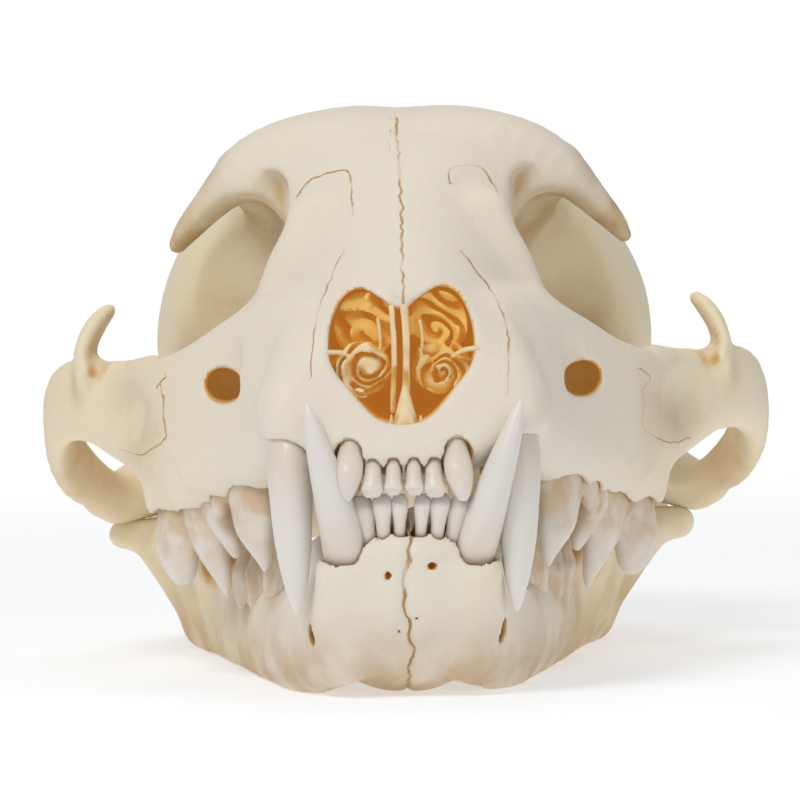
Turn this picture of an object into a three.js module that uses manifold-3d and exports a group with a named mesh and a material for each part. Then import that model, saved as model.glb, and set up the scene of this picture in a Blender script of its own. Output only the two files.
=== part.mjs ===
// The skull of an adult lynx, life size, resting on its lower jaw with the teeth closed.
//
// Bones are drawn as distance fields: a field gives, at any point, about how far that point is from
// the surface, and is negative inside the bone. Fields blend where bones grow into each other, so a
// skull needs few numbers: where each bony part runs, and how thick it is there. Each field is then
// turned into a mesh by marching cubes, and the mesh is thinned to the number of faces it needs.
//
// Lengths are in millimetres. While a bone is drawn, x is to the side (0 is the mid plane), y runs
// back from the front of the incisors, and z is up from the table. Cranial bones are drawn on the
// side of positive x and mirrored. The finished skull is moved so that its box is centred over the
// origin.
import * as THREE from "three";
import { edgeTable, triTable } from "three/addons/objects/MarchingCubes.js";
import Module from "manifold-3d";

const wasm = await Module();
wasm.setup();

// Driving sizes of the whole skull.
const SKULL_LENGTH = 151; // incisors to the back of the nuchal crest
const ARCH_HALF_WIDTH = 53.6; // mid plane to the outer face of the zygomatic arch
const GAP = 0.3; // left between nodes that touch
const TABLE = 0; // height of the flats that the lower jaw rests on

// Mesh fineness: the step of the sampling grid, and the faces that each mesh keeps.
const BONE_STEP = 1;
const TOOTH_STEP = 0.55;
const CRANIUM_FACES = 8400;
const JAW_FACES = 1800;

const BONE_COLOUR = 0xe9e0cf;
const TOOTH_COLOUR = 0xf2efe8;
const INNER_BONE_COLOUR = 0xd9a64e;

// Distance-field arithmetic.

const FAR = 1e3;

function blendMin(a, b, k) {
  const near = Math.max(k - Math.abs(a - b), 0);
  return Math.min(a, b) - (k > 0 ? (near * near) / (4 * k) : 0);
}

const blendMax = (a, b, k) => -blendMin(-a, -b, k);

const emptyBox = () => new THREE.Box3();

function gapToBox(box, x, y, z) {
  const dx = Math.max(box.min.x - x, x - box.max.x, 0);
  const dy = Math.max(box.min.y - y, y - box.max.y, 0);
  const dz = Math.max(box.min.z - z, z - box.max.z, 0);
  return Math.sqrt(dx * dx + dy * dy + dz * dz);
}

// Several fields grown into one, with fillets of about k.
function join(k, ...fields) {
  const box = fields.reduce((b, f) => b.union(f.box), emptyBox());
  return {
    box,
    at(x, y, z) {
      let d = FAR;
      for (const f of fields) if (gapToBox(f.box, x, y, z) < d + k) d = blendMin(d, f.at(x, y, z), k);
      return d;
    },
  };
}

// A field with others cut out of it, the edges rounded by about k.
function carve(k, body, ...cutters) {
  return {
    box: body.box,
    at(x, y, z) {
      let d = body.at(x, y, z);
      for (const c of cutters) if (gapToBox(c.box, x, y, z) + d < k) d = blendMax(d, -c.at(x, y, z), k);
      return d;
    },
  };
}

// The same field, its skin moved out by a distance.
function swell(field, by) {
  return { box: field.box.clone().expandByScalar(by), at: (x, y, z) => field.at(x, y, z) - by };
}

const mirrored = (field) => {
  const box = field.box.clone();
  box.min.x = -box.max.x;
  return { box, at: (x, y, z) => field.at(Math.abs(x), y, z) };
};

// Distance to an ellipse or ellipsoid from a point given by its offsets over each radius.
function ovalDistance(u, v, w, a, b, c) {
  const k0 = Math.sqrt((u / a) ** 2 + (v / b) ** 2 + (w / c) ** 2);
  const k1 = Math.sqrt((u / a ** 2) ** 2 + (v / b ** 2) ** 2 + (w / c ** 2) ** 2);
  return k1 < 1e-6 ? -Math.min(a, b, c) : (k0 * (k0 - 1)) / k1;
}

function ball([cx, cy, cz], [a, b, c]) {
  const box = new THREE.Box3(
    new THREE.Vector3(cx - a, cy - b, cz - c),
    new THREE.Vector3(cx + a, cy + b, cz + c),
  );
  return { box, at: (x, y, z) => ovalDistance(x - cx, y - cy, z - cz, a, b, c) };
}

// A bar of oval section along a smooth line through points [x, y, z, a, b]: a is the half width
// along the direction `side`, and b the half width across it.
function strand(side, points, perSpan = 3) {
  const line = new THREE.CatmullRomCurve3(
    points.map((p) => new THREE.Vector3(p[0], p[1], p[2])), false, "catmullrom");
  const widths = new THREE.CatmullRomCurve3(
    points.map((p) => new THREE.Vector3(p[3], p[4], 0)), false, "catmullrom");
  const count = (points.length - 1) * perSpan;
  const spine = [...Array(count + 1).keys()].map((i) => line.getPoint(i / count));
  const size = [...Array(count + 1).keys()].map((i) => widths.getPoint(i / count));
  const box = emptyBox();
  spine.forEach((p, i) => {
    const reach = Math.max(size[i].x, size[i].y);
    box.expandByPoint(p.clone().addScalar(reach)).expandByPoint(p.clone().addScalar(-reach));
  });
  const links = spine.slice(1).map((q, i) => {
    const p = spine[i];
    const along = q.clone().sub(p);
    const length = along.length();
    along.divideScalar(length);
    const across = new THREE.Vector3(...side);
    across.addScaledVector(along, -across.dot(along)).normalize();
    return { p, along, length, across, other: along.clone().cross(across), s: size[i], t: size[i + 1] };
  });
  return {
    box,
    at(x, y, z) {
      let best = FAR;
      for (const l of links) {
        const dx = x - l.p.x, dy = y - l.p.y, dz = z - l.p.z;
        const run = dx * l.along.x + dy * l.along.y + dz * l.along.z;
        const h = Math.min(Math.max(run / l.length, 0), 1);
        const a = l.s.x + h * (l.t.x - l.s.x);
        const b = l.s.y + h * (l.t.y - l.s.y);
        const u = dx * l.across.x + dy * l.across.y + dz * l.across.z;
        const v = dx * l.other.x + dy * l.other.y + dz * l.other.z;
        best = Math.min(best, ovalDistance(u, v, run - h * l.length, a, b, Math.min(a, b)));
      }
      return best;
    },
  };
}

// Values at stations along y, joined smoothly.
function along(stations, y) {
  let i = 1;
  while (i < stations.length - 2 && y > stations[i + 1][0]) i += 1;
  if (y < stations[1][0]) i = 0;
  const [p, q] = [stations[i], stations[i + 1]];
  const [o, r] = [stations[Math.max(i - 1, 0)], stations[Math.min(i + 2, stations.length - 1)]];
  const span = q[0] - p[0];
  const t = Math.min(Math.max((y - p[0]) / span, 0), 1);
  return p.slice(1).map((from, j) => {
    const to = q[j + 1];
    const slopeIn = ((to - o[j + 1]) / (q[0] - o[0])) * span;
    const slopeOut = ((r[j + 1] - from) / (r[0] - p[0])) * span;
    return (2 * t ** 3 - 3 * t ** 2 + 1) * from + (t ** 3 - 2 * t ** 2 + t) * slopeIn
      + (3 * t ** 2 - 2 * t ** 3) * to + (t ** 3 - t ** 2) * slopeOut;
  });
}

// A body whose section changes along y. Each station is [y, top, widest height, bottom, half width,
// power]: power 2 is an ellipse, and more is squarer.
function sectioned(stations) {
  const first = stations[0][0], last = stations[stations.length - 1][0];
  const box = emptyBox();
  for (const [y, top, , bottom, half] of stations)
    box.expandByPoint(new THREE.Vector3(half, y, top)).expandByPoint(new THREE.Vector3(-half, y, bottom));
  const rows = new Map();
  const row = (y) => {
    if (!rows.has(y)) rows.set(y, along(stations, y));
    return rows.get(y);
  };
  return {
    box,
    at(x, y, z) {
      const [top, widest, bottom, half, power] = row(y);
      const rise = z > widest ? top - widest : widest - bottom;
      const u = Math.abs(x) / half + 1e-4, v = Math.abs(z - widest) / rise + 1e-4;
      const q = (u ** power + v ** power) ** (1 / power);
      const slope = q ** (1 - power) * Math.hypot(u ** (power - 1) / half, v ** (power - 1) / rise);
      const d = Math.max((q - 1) / slope, -Math.min(half, rise));
      return blendMax(d, Math.max(first - y, y - last), 2);
    },
  };
}

// A straight-sided hole or block along y whose outline, in x and z, is a smooth closed line.
function prism(outline, front, back, perSpan = 4) {
  const line = new THREE.CatmullRomCurve3(
    outline.map(([x, z]) => new THREE.Vector3(x, 0, z)), true, "centripetal");
  const ring = line.getPoints(outline.length * perSpan).slice(0, -1);
  const box = emptyBox();
  for (const p of ring)
    box.expandByPoint(new THREE.Vector3(p.x, front, p.z)).expandByPoint(new THREE.Vector3(p.x, back, p.z));
  return {
    box,
    at(x, y, z) {
      let near = FAR * FAR, inside = false;
      for (let i = 0, j = ring.length - 1; i < ring.length; j = i, i += 1) {
        const p = ring[i], q = ring[j];
        const ex = q.x - p.x, ez = q.z - p.z, wx = x - p.x, wz = z - p.z;
        const h = Math.min(Math.max((wx * ex + wz * ez) / (ex * ex + ez * ez), 0), 1);
        near = Math.min(near, (wx - h * ex) ** 2 + (wz - h * ez) ** 2);
        if (p.z > z !== q.z > z && x < (ex * (z - p.z)) / ez + p.x) inside = !inside;
      }
      return blendMax(inside ? -Math.sqrt(near) : Math.sqrt(near), Math.max(front - y, y - back), 1);
    },
  };
}

// The half space behind a plane through a point, with an outward normal, as a cutter of `carve`.
function beyond([px, py, pz], [nx, ny, nz]) {
  const size = Math.hypot(nx, ny, nz);
  const box = new THREE.Box3(new THREE.Vector3().setScalar(-FAR), new THREE.Vector3().setScalar(FAR));
  return { box, at: (x, y, z) => -((x - px) * nx + (y - py) * ny + (z - pz) * nz) / size };
}

// Field to mesh.

const CUBE_CORNERS = [
  [0, 0, 0], [1, 0, 0], [1, 1, 0], [0, 1, 0], [0, 0, 1], [1, 0, 1], [1, 1, 1], [0, 1, 1],
];
const CUBE_EDGES = [
  [0, 1], [1, 2], [2, 3], [3, 0], [4, 5], [5, 6], [6, 7], [7, 4], [0, 4], [1, 5], [2, 6], [3, 7],
];
const KEEP_OFF_CORNER = 0.06; // of a step, so that no face is too thin

// Marching cubes over the field's box, as { points, faces } with shared points.
function polygonise(field, step) {
  const low = field.box.min.clone().addScalar(-2.5 * step);
  const size = field.box.max.clone().addScalar(2.5 * step).sub(low).divideScalar(step);
  const [nx, ny, nz] = [Math.ceil(size.x) + 1, Math.ceil(size.y) + 1, Math.ceil(size.z) + 1];
  const index = (i, j, k) => i + nx * (j + ny * k);
  const value = new Float64Array(nx * ny * nz);
  for (let k = 0; k < nz; k += 1)
    for (let j = 0; j < ny; j += 1)
      for (let i = 0; i < nx; i += 1)
        value[index(i, j, k)] = field.at(low.x + i * step, low.y + j * step, low.z + k * step) || 1e-6;
  const points = [], faces = [], made = new Map();
  const pointOn = (a, b, ca, cb) => {
    const key = a < b ? a * 8e6 + b : b * 8e6 + a;
    if (!made.has(key)) {
      const t = Math.min(Math.max(value[a] / (value[a] - value[b]), KEEP_OFF_CORNER), 1 - KEEP_OFF_CORNER);
      made.set(key, points.length);
      points.push(ca.map((c, n) => low.getComponent(n) + step * (c + t * (cb[n] - c))));
    }
    return made.get(key);
  };
  for (let k = 0; k < nz - 1; k += 1)
    for (let j = 0; j < ny - 1; j += 1)
      for (let i = 0; i < nx - 1; i += 1) {
        const corners = CUBE_CORNERS.map(([a, b, c]) => [i + a, j + b, k + c]);
        const ids = corners.map((c) => index(...c));
        const kind = ids.reduce((bits, id, n) => bits | (value[id] < 0 ? 1 << n : 0), 0);
        if (!edgeTable[kind]) continue;
        const row = kind * 16;
        for (let t = row; triTable[t] !== -1; t += 3) {
          const tri = [0, 1, 2].map((n) => {
            const [a, b] = CUBE_EDGES[triTable[t + n]];
            return pointOn(ids[a], ids[b], corners[a], corners[b]);
          });
          faces.push([tri[0], tri[2], tri[1]]);
        }
      }
  return { points, faces };
}

// Joins points along short edges, cheapest first by quadric error, until `target` faces are left.
function thin({ points, faces }, target) {
  const P = points.map((p) => p.slice());
  const F = faces.map((f) => f.slice());
  const live = F.map(() => true);
  const around = P.map(() => new Set());
  const quadrics = P.map(() => new Float64Array(10));
  const normalOf = (a, b, c) => {
    const u = [b[0] - a[0], b[1] - a[1], b[2] - a[2]], v = [c[0] - a[0], c[1] - a[1], c[2] - a[2]];
    return [u[1] * v[2] - u[2] * v[1], u[2] * v[0] - u[0] * v[2], u[0] * v[1] - u[1] * v[0]];
  };
  F.forEach((f, id) => {
    const n = normalOf(P[f[0]], P[f[1]], P[f[2]]);
    const area = Math.hypot(...n) || 1e-12;
    const [a, b, c] = n.map((v) => v / area);
    const d = -(a * P[f[0]][0] + b * P[f[0]][1] + c * P[f[0]][2]);
    const q = [a * a, a * b, a * c, a * d, b * b, b * c, b * d, c * c, c * d, d * d];
    for (const v of f) {
      around[v].add(id);
      q.forEach((value, i) => { quadrics[v][i] += value * area; });
    }
  });
  const errorAt = (q, [x, y, z]) => q[0] * x * x + 2 * q[1] * x * y + 2 * q[2] * x * z + 2 * q[3] * x
    + q[4] * y * y + 2 * q[5] * y * z + 2 * q[6] * y + q[7] * z * z + 2 * q[8] * z + q[9];
  const bestPoint = (q, u, v) => {
    const det = q[0] * (q[4] * q[7] - q[5] * q[5]) - q[1] * (q[1] * q[7] - q[5] * q[2])
      + q[2] * (q[1] * q[5] - q[4] * q[2]);
    const middle = P[u].map((c, i) => (c + P[v][i]) / 2);
    const choices = [P[u], P[v], middle];
    if (Math.abs(det) > 1e-9) {
      const [r, s, t] = [-q[3], -q[6], -q[8]];
      const solved = [
        (r * (q[4] * q[7] - q[5] * q[5]) - q[1] * (s * q[7] - q[5] * t) + q[2] * (s * q[5] - q[4] * t)) / det,
        (q[0] * (s * q[7] - q[5] * t) - r * (q[1] * q[7] - q[5] * q[2]) + q[2] * (q[1] * t - s * q[2])) / det,
        (q[0] * (q[4] * t - s * q[5]) - q[1] * (q[1] * t - s * q[2]) + r * (q[1] * q[5] - q[4] * q[2])) / det,
      ];
      const span = Math.hypot(...P[u].map((c, i) => c - P[v][i]));
      if (Math.hypot(...solved.map((c, i) => c - middle[i])) < 1.5 * span) choices.unshift(solved);
    }
    return choices.map((c) => [errorAt(q, c), c]).sort((m, n) => m[0] - n[0])[0];
  };
  const heap = [];
  const push = (item) => {
    let i = heap.push(item) - 1;
    for (let up = (i - 1) >> 1; i > 0 && heap[up].cost > heap[i].cost; i = up, up = (i - 1) >> 1)
      [heap[up], heap[i]] = [heap[i], heap[up]];
  };
  const pop = () => {
    const top = heap[0], end = heap.pop();
    if (heap.length) {
      heap[0] = end;
      for (let i = 0; ;) {
        const l = 2 * i + 1, r = l + 1;
        let s = i;
        if (l < heap.length && heap[l].cost < heap[s].cost) s = l;
        if (r < heap.length && heap[r].cost < heap[s].cost) s = r;
        if (s === i) break;
        [heap[s], heap[i]] = [heap[i], heap[s]];
        i = s;
      }
    }
    return top;
  };
  const stamp = P.map(() => 0);
  const offer = (u, v) => {
    const q = quadrics[u].map((value, i) => value + quadrics[v][i]);
    const [cost, place] = bestPoint(q, u, v);
    push({ cost: Math.abs(cost) + 1e-9, u, v, place, su: stamp[u], sv: stamp[v] });
  };
  const neighbours = (u) => new Set([...around[u]].flatMap((id) => F[id]).filter((v) => v !== u));
  const flips = (u, v, place) => [...around[u]].some((id) => {
    const f = F[id];
    if (f.includes(v)) return false;
    const before = normalOf(P[f[0]], P[f[1]], P[f[2]]);
    const after = normalOf(...f.map((w) => (w === u ? place : P[w])));
    const dot = before[0] * after[0] + before[1] * after[1] + before[2] * after[2];
    return dot < 0.25 * Math.hypot(...before) * Math.hypot(...after) || Math.hypot(...after) < 1e-4;
  });
  F.forEach((f) => [[0, 1], [1, 2], [2, 0]].forEach(([a, b]) => f[a] < f[b] && offer(f[a], f[b])));
  let left = F.length;
  while (left > target && heap.length) {
    const { u, v, place, su, sv } = pop();
    if (stamp[u] !== su || stamp[v] !== sv) continue;
    const nu = neighbours(u), nv = neighbours(v);
    if ([...nu].filter((w) => nv.has(w)).length !== 2) continue;
    if (flips(u, v, place) || flips(v, u, place)) continue;
    P[u] = place;
    for (let i = 0; i < 10; i += 1) quadrics[u][i] += quadrics[v][i];
    for (const id of around[v]) {
      if (F[id].includes(u)) {
        live[id] = false;
        left -= 1;
        for (const w of F[id]) if (w !== v) around[w].delete(id);
      } else {
        F[id][F[id].indexOf(v)] = u;
        around[u].add(id);
      }
    }
    around[v].clear();
    stamp[v] = -1;
    stamp[u] += 1;
    for (const w of neighbours(u)) offer(u, w);
  }
  const kept = F.filter((_, id) => live[id]);
  const used = new Map();
  for (const v of kept.flat()) if (!used.has(v)) used.set(v, used.size);
  return { points: [...used.keys()].map((v) => P[v]), faces: kept.map((f) => f.map((v) => used.get(v))) };
}

const solidOf = ({ points, faces }) => new wasm.Manifold(new wasm.Mesh({
  numProp: 3, vertProperties: new Float32Array(points.flat()), triVerts: new Uint32Array(faces.flat()),
}));

// The largest closed surface of a solid: this fills sealed hollows and drops loose scraps.
function largest(solid) {
  return solid.decompose().reduce((best, s) => (s.volume() > best.volume() ? s : best));
}

const solidFrom = (field, step, target) => largest(solidOf(thin(polygonise(field, step), target)));

const flipX = (solid) => solid.mirror([1, 0, 0]);

// Cranium.

// Rostrum, forehead and braincase, from the nose back to the occiput.
const VAULT = [
  [4, 47, 38, 32, 12.5, 2.4],
  [12, 55.2, 38, 31.5, 15.5, 2.3],
  [20, 60.3, 39, 31, 16.6, 2.2],
  [30, 66.2, 41, 29.6, 18.2, 2.1],
  [40, 71.8, 48, 30, 19, 2.2],
  [48, 76, 60, 34, 20.4, 2.3],
  [56, 78.8, 65, 38, 24, 2.4],
  [64, 80.3, 66, 40, 26, 2.4],
  [71, 81, 65, 40, 25, 2.3],
  [78, 80.9, 60, 40, 24, 2.2],
  [86, 80.2, 55, 36, 30, 2.1],
  [95, 78.4, 50, 31, 35.4, 2.1],
  [105, 75.4, 46, 26, 37.6, 2.1],
  [116, 71.4, 45, 23, 36, 2.1],
  [127, 66, 42, 21, 32.5, 2.1],
  [138, 59, 40, 20, 27, 2.1],
  [149, 51, 38, 20, 20, 2.1],
];

const SIDE_X = [1, 0, 0], SIDE_Y = [0, 1, 0], SIDE_Z = [0, 0, 1];
const TOOTH_ROW = [0.5, 0.87, 0]; // way that the cheek teeth run

const toothBearingMaxilla = strand(SIDE_X, [
  [3, 6.6, 37, 6.4, 5],
  [12, 10.5, 39.6, 6.6, 5.2],
  [16.4, 18, 38.5, 4.6, 7.6],
  [20, 26, 36.5, 4.8, 8.6],
  [24.5, 35, 34.8, 5.4, 8.8],
  [29.8, 44, 32.4, 5.2, 9],
  [32, 50, 31.2, 4.8, 8.4],
  [31, 56, 33, 3.6, 5.5],
]);

const canineRoot = strand(SIDE_X, [
  [14.9, 9.6, 39, 3.9, 4.4],
  [14.2, 13.5, 45, 3.5, 3.8],
  [13, 19, 51, 2.8, 3],
]);

// The corner of the maxilla over the molar.
const molarCorner = strand(SIDE_X, [[35, 48, 32, 3, 3], [35.5, 50.5, 25.2, 2, 2.6]]);

const zygomaticRoot = strand(SIDE_Z, [
  [15, 24, 46, 9, 6],
  [20, 32, 45.5, 9.5, 6],
  [27, 39.5, 42.6, 9.6, 4.6],
  [34, 47.5, 39.4, 8, 3.8],
  [40.5, 55.5, 38.9, 6.6, 3],
]);

const lacrimalRim = strand(SIDE_X, [
  [13, 41, 65, 3.4, 4.4], [15.2, 38, 59.4, 3.6, 4], [18.2, 38.4, 53.4, 4, 4],
]);

// The brow: a shield across the forehead that ends in the two postorbital processes.
const brow = strand(SIDE_Y, [
  [0, 69, 75, 12, 4],
  [9, 68, 76, 12, 4],
  [16.6, 64.4, 75, 10, 4],
  [22.4, 63, 72.6, 8, 3.4],
  [27, 63.4, 68.4, 5.6, 2.6],
  [30.8, 65, 64.4, 3.2, 1.8],
  [32.6, 66, 62, 1.6, 1.1],
]);

// What the front view shows of the orbit: the outline of its rim, as [x, z].
const ORBIT_RIM = [
  [15.7, 67.2], [16.2, 71.4], [19.7, 73.2], [25.4, 70.6], [30, 67], [33, 63], [40, 60], [44, 53], [44, 45.6],
  [38, 45.4], [31.8, 47.2], [26, 50.6], [21, 54.2], [19.3, 57.6], [18.2, 60.6], [16.4, 64],
];
const orbit = join(3,
  prism(ORBIT_RIM, 24, 54),
  ball([30.5, 61, 57.5], [17, 18, 14.6]),
  ball([34, 74, 50], [19, 15, 19]),
  ball([31, 60, 44], [12, 9, 11]));

const arch = strand(SIDE_Z, [
  [36.5, 50.5, 37.4, 9.2, 3.4],
  [41, 56, 38.2, 7.3, 2.9],
  [44.8, 61.5, 39.2, 6.2, 2.6],
  [48.8, 69, 39.2, 5.8, 2.4],
  [ARCH_HALF_WIDTH - 2.3, 77, 37, 5.6, 2.3],
  [ARCH_HALF_WIDTH - 2.1, 85, 32.6, 5, 2.3],
  [49.6, 91.5, 27.8, 4.2, 2.5],
  [46, 96.5, 24.6, 3.1, 3.2],
  [41.5, 100.5, 23.8, 2.7, 4.8],
  [34, 103, 25.6, 3.8, 6],
  [28, 104, 30, 5, 6.5],
]);

// The dish in the front of the cheek bone.
const cheekHollow = ball([46, 46.5, 38.5], [9, 9, 7.5]);

const jugalHook = strand(SIDE_Y, [
  [45.6, 60, 42, 5.6, 1.7],
  [46.4, 62, 45.6, 4.4, 1.35],
  [45.8, 64, 48.6, 3.4, 1.3],
  [44.4, 65.8, 51, 2.5, 1.15],
  [43.1, 66.8, 52.4, 1.5, 0.8],
]);

// The lip of the jaw joint's socket, under the root of the arch.
const socketLip = strand(SIDE_Z, [[46.4, 97, 22.6, 2, 2.2], [43.6, 99, 20.9, 1.8, 2], [38, 102.5, 22.6, 2, 3]]);

const innerBar = strand(SIDE_X, [
  [0, 36, 38, 14, 10],
  [0, 52, 38, 13, 12],
  [0, 66, 39, 10.5, 11.5],
  [0, 80, 38, 10, 10.5],
  [0, 94, 34, 11, 9],
]);

const pterygoid = strand(SIDE_Z, [[8.4, 62, 29, 6, 2.4], [7.8, 74, 26, 5.4, 1.8], [8, 84, 23.4, 4, 1.3], [8.6, 89, 20.4, 1.8, 1]]);

const bulla = ball([16.5, 112, 23.5], [8.2, 13, 8]);

const skullBase = strand(SIDE_X, [[0, 90, 28, 10, 4], [0, 110, 24, 9, 4], [0, 128, 22, 8, 4], [0, 138, 21, 9, 3]]);

const mastoid = join(3,
  strand(SIDE_Y, [[31, 120, 34, 5, 4], [30.5, 122, 27, 4.4, 3.6], [29.5, 123.5, 21.5, 2.6, 2.2]]),
  strand(SIDE_Y, [[22, 129, 26, 3.6, 4], [21.5, 130, 20, 3, 2.6], [20.8, 129.6, 14.6, 1.9, 1.6]]),
  strand(SIDE_Z, [[42, 100, 25.8, 2.2, 3], [36.5, 107, 29.6, 2.4, 3], [33, 115, 31.5, 2.6, 2.4], [31, 122, 30, 3, 2.4]]));

const occipitalCondyle = strand(SIDE_Z, [[5, 138, 20, 3, 4], [9.4, 142.6, 24, 5.6, 4.4], [10.4, 142.2, 29, 4, 3.6]]);

const nuchalCrest = strand(SIDE_Y, [
  [0, 148.8, 52.2, 2.4, 1.6],
  [11, 147, 49.4, 2.2, 1.5],
  [20, 142, 42.4, 2, 1.4],
  [27, 133, 33.6, 2, 1.4],
  [30.6, 125, 27, 2, 1.6],
]);

const sagittalCrest = strand(SIDE_X, [
  [0, 120, 69.4, 0.8, 1.2],
  [0, 132, 63.2, 1, 2.2],
  [0, 142, 57.2, 1.1, 2.6],
  [0, 148.4, 52.6, 1.1, 2.2],
]);

const templeLine = strand(SIDE_X, [
  [25, 66, 73.4, 0.9, 1.1],
  [18, 75, 77.8, 0.9, 1],
  [12, 87, 78.5, 0.9, 1],
  [6, 103, 75.4, 0.8, 1],
  [0.6, 119, 69.8, 0.8, 1.1],
]);

const postglenoid = strand(SIDE_X, [[36, 105.6, 25, 5.5, 2.6], [35.5, 105.8, 19, 4.4, 1.5]]);

// The nasal opening as the front view shows it: half of a heart, as [x, z], mirrored.
const NOSE_HALF = [
  [2.6, 54.9], [5.4, 56.2], [7.8, 55.2], [9.4, 52.4], [10.05, 49.4], [9.9, 46.6], [8.8, 44.4], [7.1, 42.4],
  [5.3, 40.2], [3.2, 38.3],
];
const NOSE_RIM = [[0, 53.2], ...NOSE_HALF, [0, 37.6], ...[...NOSE_HALF].reverse().map(([x, z]) => [-x, z])];
const NOSE_DEPTH = 28;
const noseHole = prism(NOSE_RIM, -6, NOSE_DEPTH);
const septum = strand(SIDE_Z, [[0, 15, 46, 10, 0.7], [0, NOSE_DEPTH + 2, 48, 10, 0.9]]);
const turbinates = join(0.6,
  strand(SIDE_X, [[8.4, 12, 44.6, 2.6, 0.7], [8, NOSE_DEPTH + 2, 46, 3, 0.9]]),
  strand(SIDE_X, [[5.6, 13, 41.2, 2.6, 0.7], [5.6, NOSE_DEPTH + 2, 43, 3, 0.9]]),
  strand(SIDE_Z, [[4.6, 14, 44, 3, 0.6], [4.6, NOSE_DEPTH + 2, 46, 3, 0.8]]),
  strand(SIDE_X, [[7, 20, 50.4, 3, 0.6], [7, NOSE_DEPTH + 2, 51.4, 3, 0.8]]));

const throat = strand(SIDE_X, [[0, 46, 31.5, 5.5, 2.6], [0, 60, 30, 6.4, 4], [0, 74, 26, 6, 6.4], [0, 92, 20, 6.4, 4]]);
const infraorbitalCanal = strand(SIDE_X, [[24.9, 24, 42.3, 2.4, 2], [25, 36, 42.8, 2.6, 2.6], [25.5, 52, 44.6, 3.2, 4.2]]);
const infraorbitalFossa = ball([24.9, 26.4, 45.6], [2.4, 2.8, 4.4]);
const spinalHole = strand(SIDE_X, [[0, 150, 27, 7.2, 6], [0, 140, 29.5, 7, 5.8], [0, 122, 34, 6.4, 5.4]]);
const earHole = ball([28, 111.5, 25], [6, 2.6, 2.6]);

// Lower jaw.

const jawBody = join(3,
  strand(SIDE_Z, [
    [9, 12, 11, 9.4, 4],
    [13.6, 23, 7.6, 8.2, 4.4],
    [16.6, 36, 7.3, 7.9, 4],
    [20, 52, 7.3, 7.7, 3.8],
    [23.3, 68, 7.6, 8, 3.4],
    [26.4, 83, 7.2, 7.4, 2.8],
    [28.8, 94, 4.6, 4.8, 2.4],
    [30.6, 105, 2.9, 2.7, 2],
  ]),
  strand(SIDE_X, [[0, 6, 20.4, 7.6, 4], [0, 9, 14, 9.6, 5.4], [0, 13.6, 8, 10.2, 6.2], [0, 19, 6.2, 10, 6.2]]),
  strand(SIDE_X, [[9.3, 7, 17.6, 3.6, 3.8], [8.8, 11, 12, 4, 4.4], [9.4, 17, 8.4, 4, 4.6]]));

const ramus = join(2.5,
  strand(SIDE_Y, [
    [24, 66, 12, 10, 2.4],
    [28.4, 76, 22, 10.5, 2],
    [33, 85, 32, 7.4, 1.6],
    [35.4, 90, 39.4, 4.4, 1.3],
    [36, 92.6, 42.4, 2.4, 1],
  ]),
  strand(SIDE_Y, [[27.4, 84, 8, 10, 2], [30.6, 88, 15, 9, 2], [33.4, 90, 22, 7, 1.8]]),
  strand(SIDE_Z, [[29.5, 80, 17, 5, 1.8], [33, 91, 17.4, 3.6, 2.2], [35.4, 98, 17, 2.6, 2.6]]),
  strand(SIDE_Y, [[39.6, 99.4, 16.9, 2.2, 1.8], [36, 98, 12.2, 2.2, 1.8], [32.8, 98, 7.4, 2.4, 1.8], [30.6, 100, 3.6, 3, 2]]),
  strand(SIDE_Y, [[30, 90, 6, 7, 1.8], [32.4, 93, 12, 6, 1.8], [35.4, 95, 17, 4.6, 1.8]]));

const condyle = strand(SIDE_Z, [[29.4, 100.5, 16.6, 2.9, 2.8], [36, 100.2, 17, 2.9, 2.9], [42.2, 99.6, 17.6, 2.3, 2.3]]);

const masseterHollow = ball([37, 80, 15.5], [6, 13, 9.6]);
const mentalHole = strand(SIDE_Z, [[8, 15, 9.4, 1.5, 0.9], [13, 11, 9, 1.8, 1]]);

// Teeth. Each is a few strands from the root, sunk in the bone, to the tip.

const upperCanine = strand(SIDE_X, [
  [14.6, 13, 47, 3, 3.8],
  [15.3, 9.5, 39, 3.4, 4.3],
  [15.45, 8, 32.5, 3.25, 4],
  [15.35, 7.4, 25.5, 2.65, 3.2],
  [15.2, 7.6, 19, 1.95, 2.2],
  [15.05, 8.2, 14.6, 1.2, 1.3],
  [15, 8.6, 12.7, 0.6, 0.6],
]);

const lowerCanine = strand(SIDE_X, [
  [7.4, 13, 12, 2.8, 3.6],
  [8.6, 8, 18.6, 3, 3.7],
  [9.6, 5, 23.4, 2.75, 3.2],
  [11.1, 3.1, 28.8, 2.3, 2.6],
  [12.6, 2.4, 33.8, 1.7, 1.9],
  [13.8, 2.5, 38, 1.05, 1.1],
  [14.4, 2.7, 40, 0.5, 0.5],
]);

// Incisors as [x at the gum, x at the edge, half width at the gum, half width at the edge, edge height].
const UPPER_INCISORS = [[1.4, 1.4, 0.75, 1.15, 28.4], [4.1, 4.3, 0.9, 1.4, 28.2], [7.4, 8, 1.8, 1.45, 27.3]];
const LOWER_INCISORS = [[1.4, 1.5, 0.75, 1.05, 28.1], [3.5, 4, 0.85, 1.2, 28.1], [5.4, 6.7, 1.1, 1.4, 27.9]];

const incisor = ([gumX, edgeX, gumHalf, edgeHalf, edge], y, gum, root) => {
  const down = Math.sign(gum - edge);
  return strand(SIDE_X, [
    [gumX, y + 5, root, gumHalf, 1.2],
    [gumX, y + 1.2, gum, gumHalf, 1.5],
    [(gumX + edgeX) / 2, y, (gum + edge * 2) / 3, edgeHalf, 1.2],
    [edgeX, y + 0.3, edge + down * 0.6, edgeHalf * 0.85, 0.55],
  ]);
};

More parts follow.
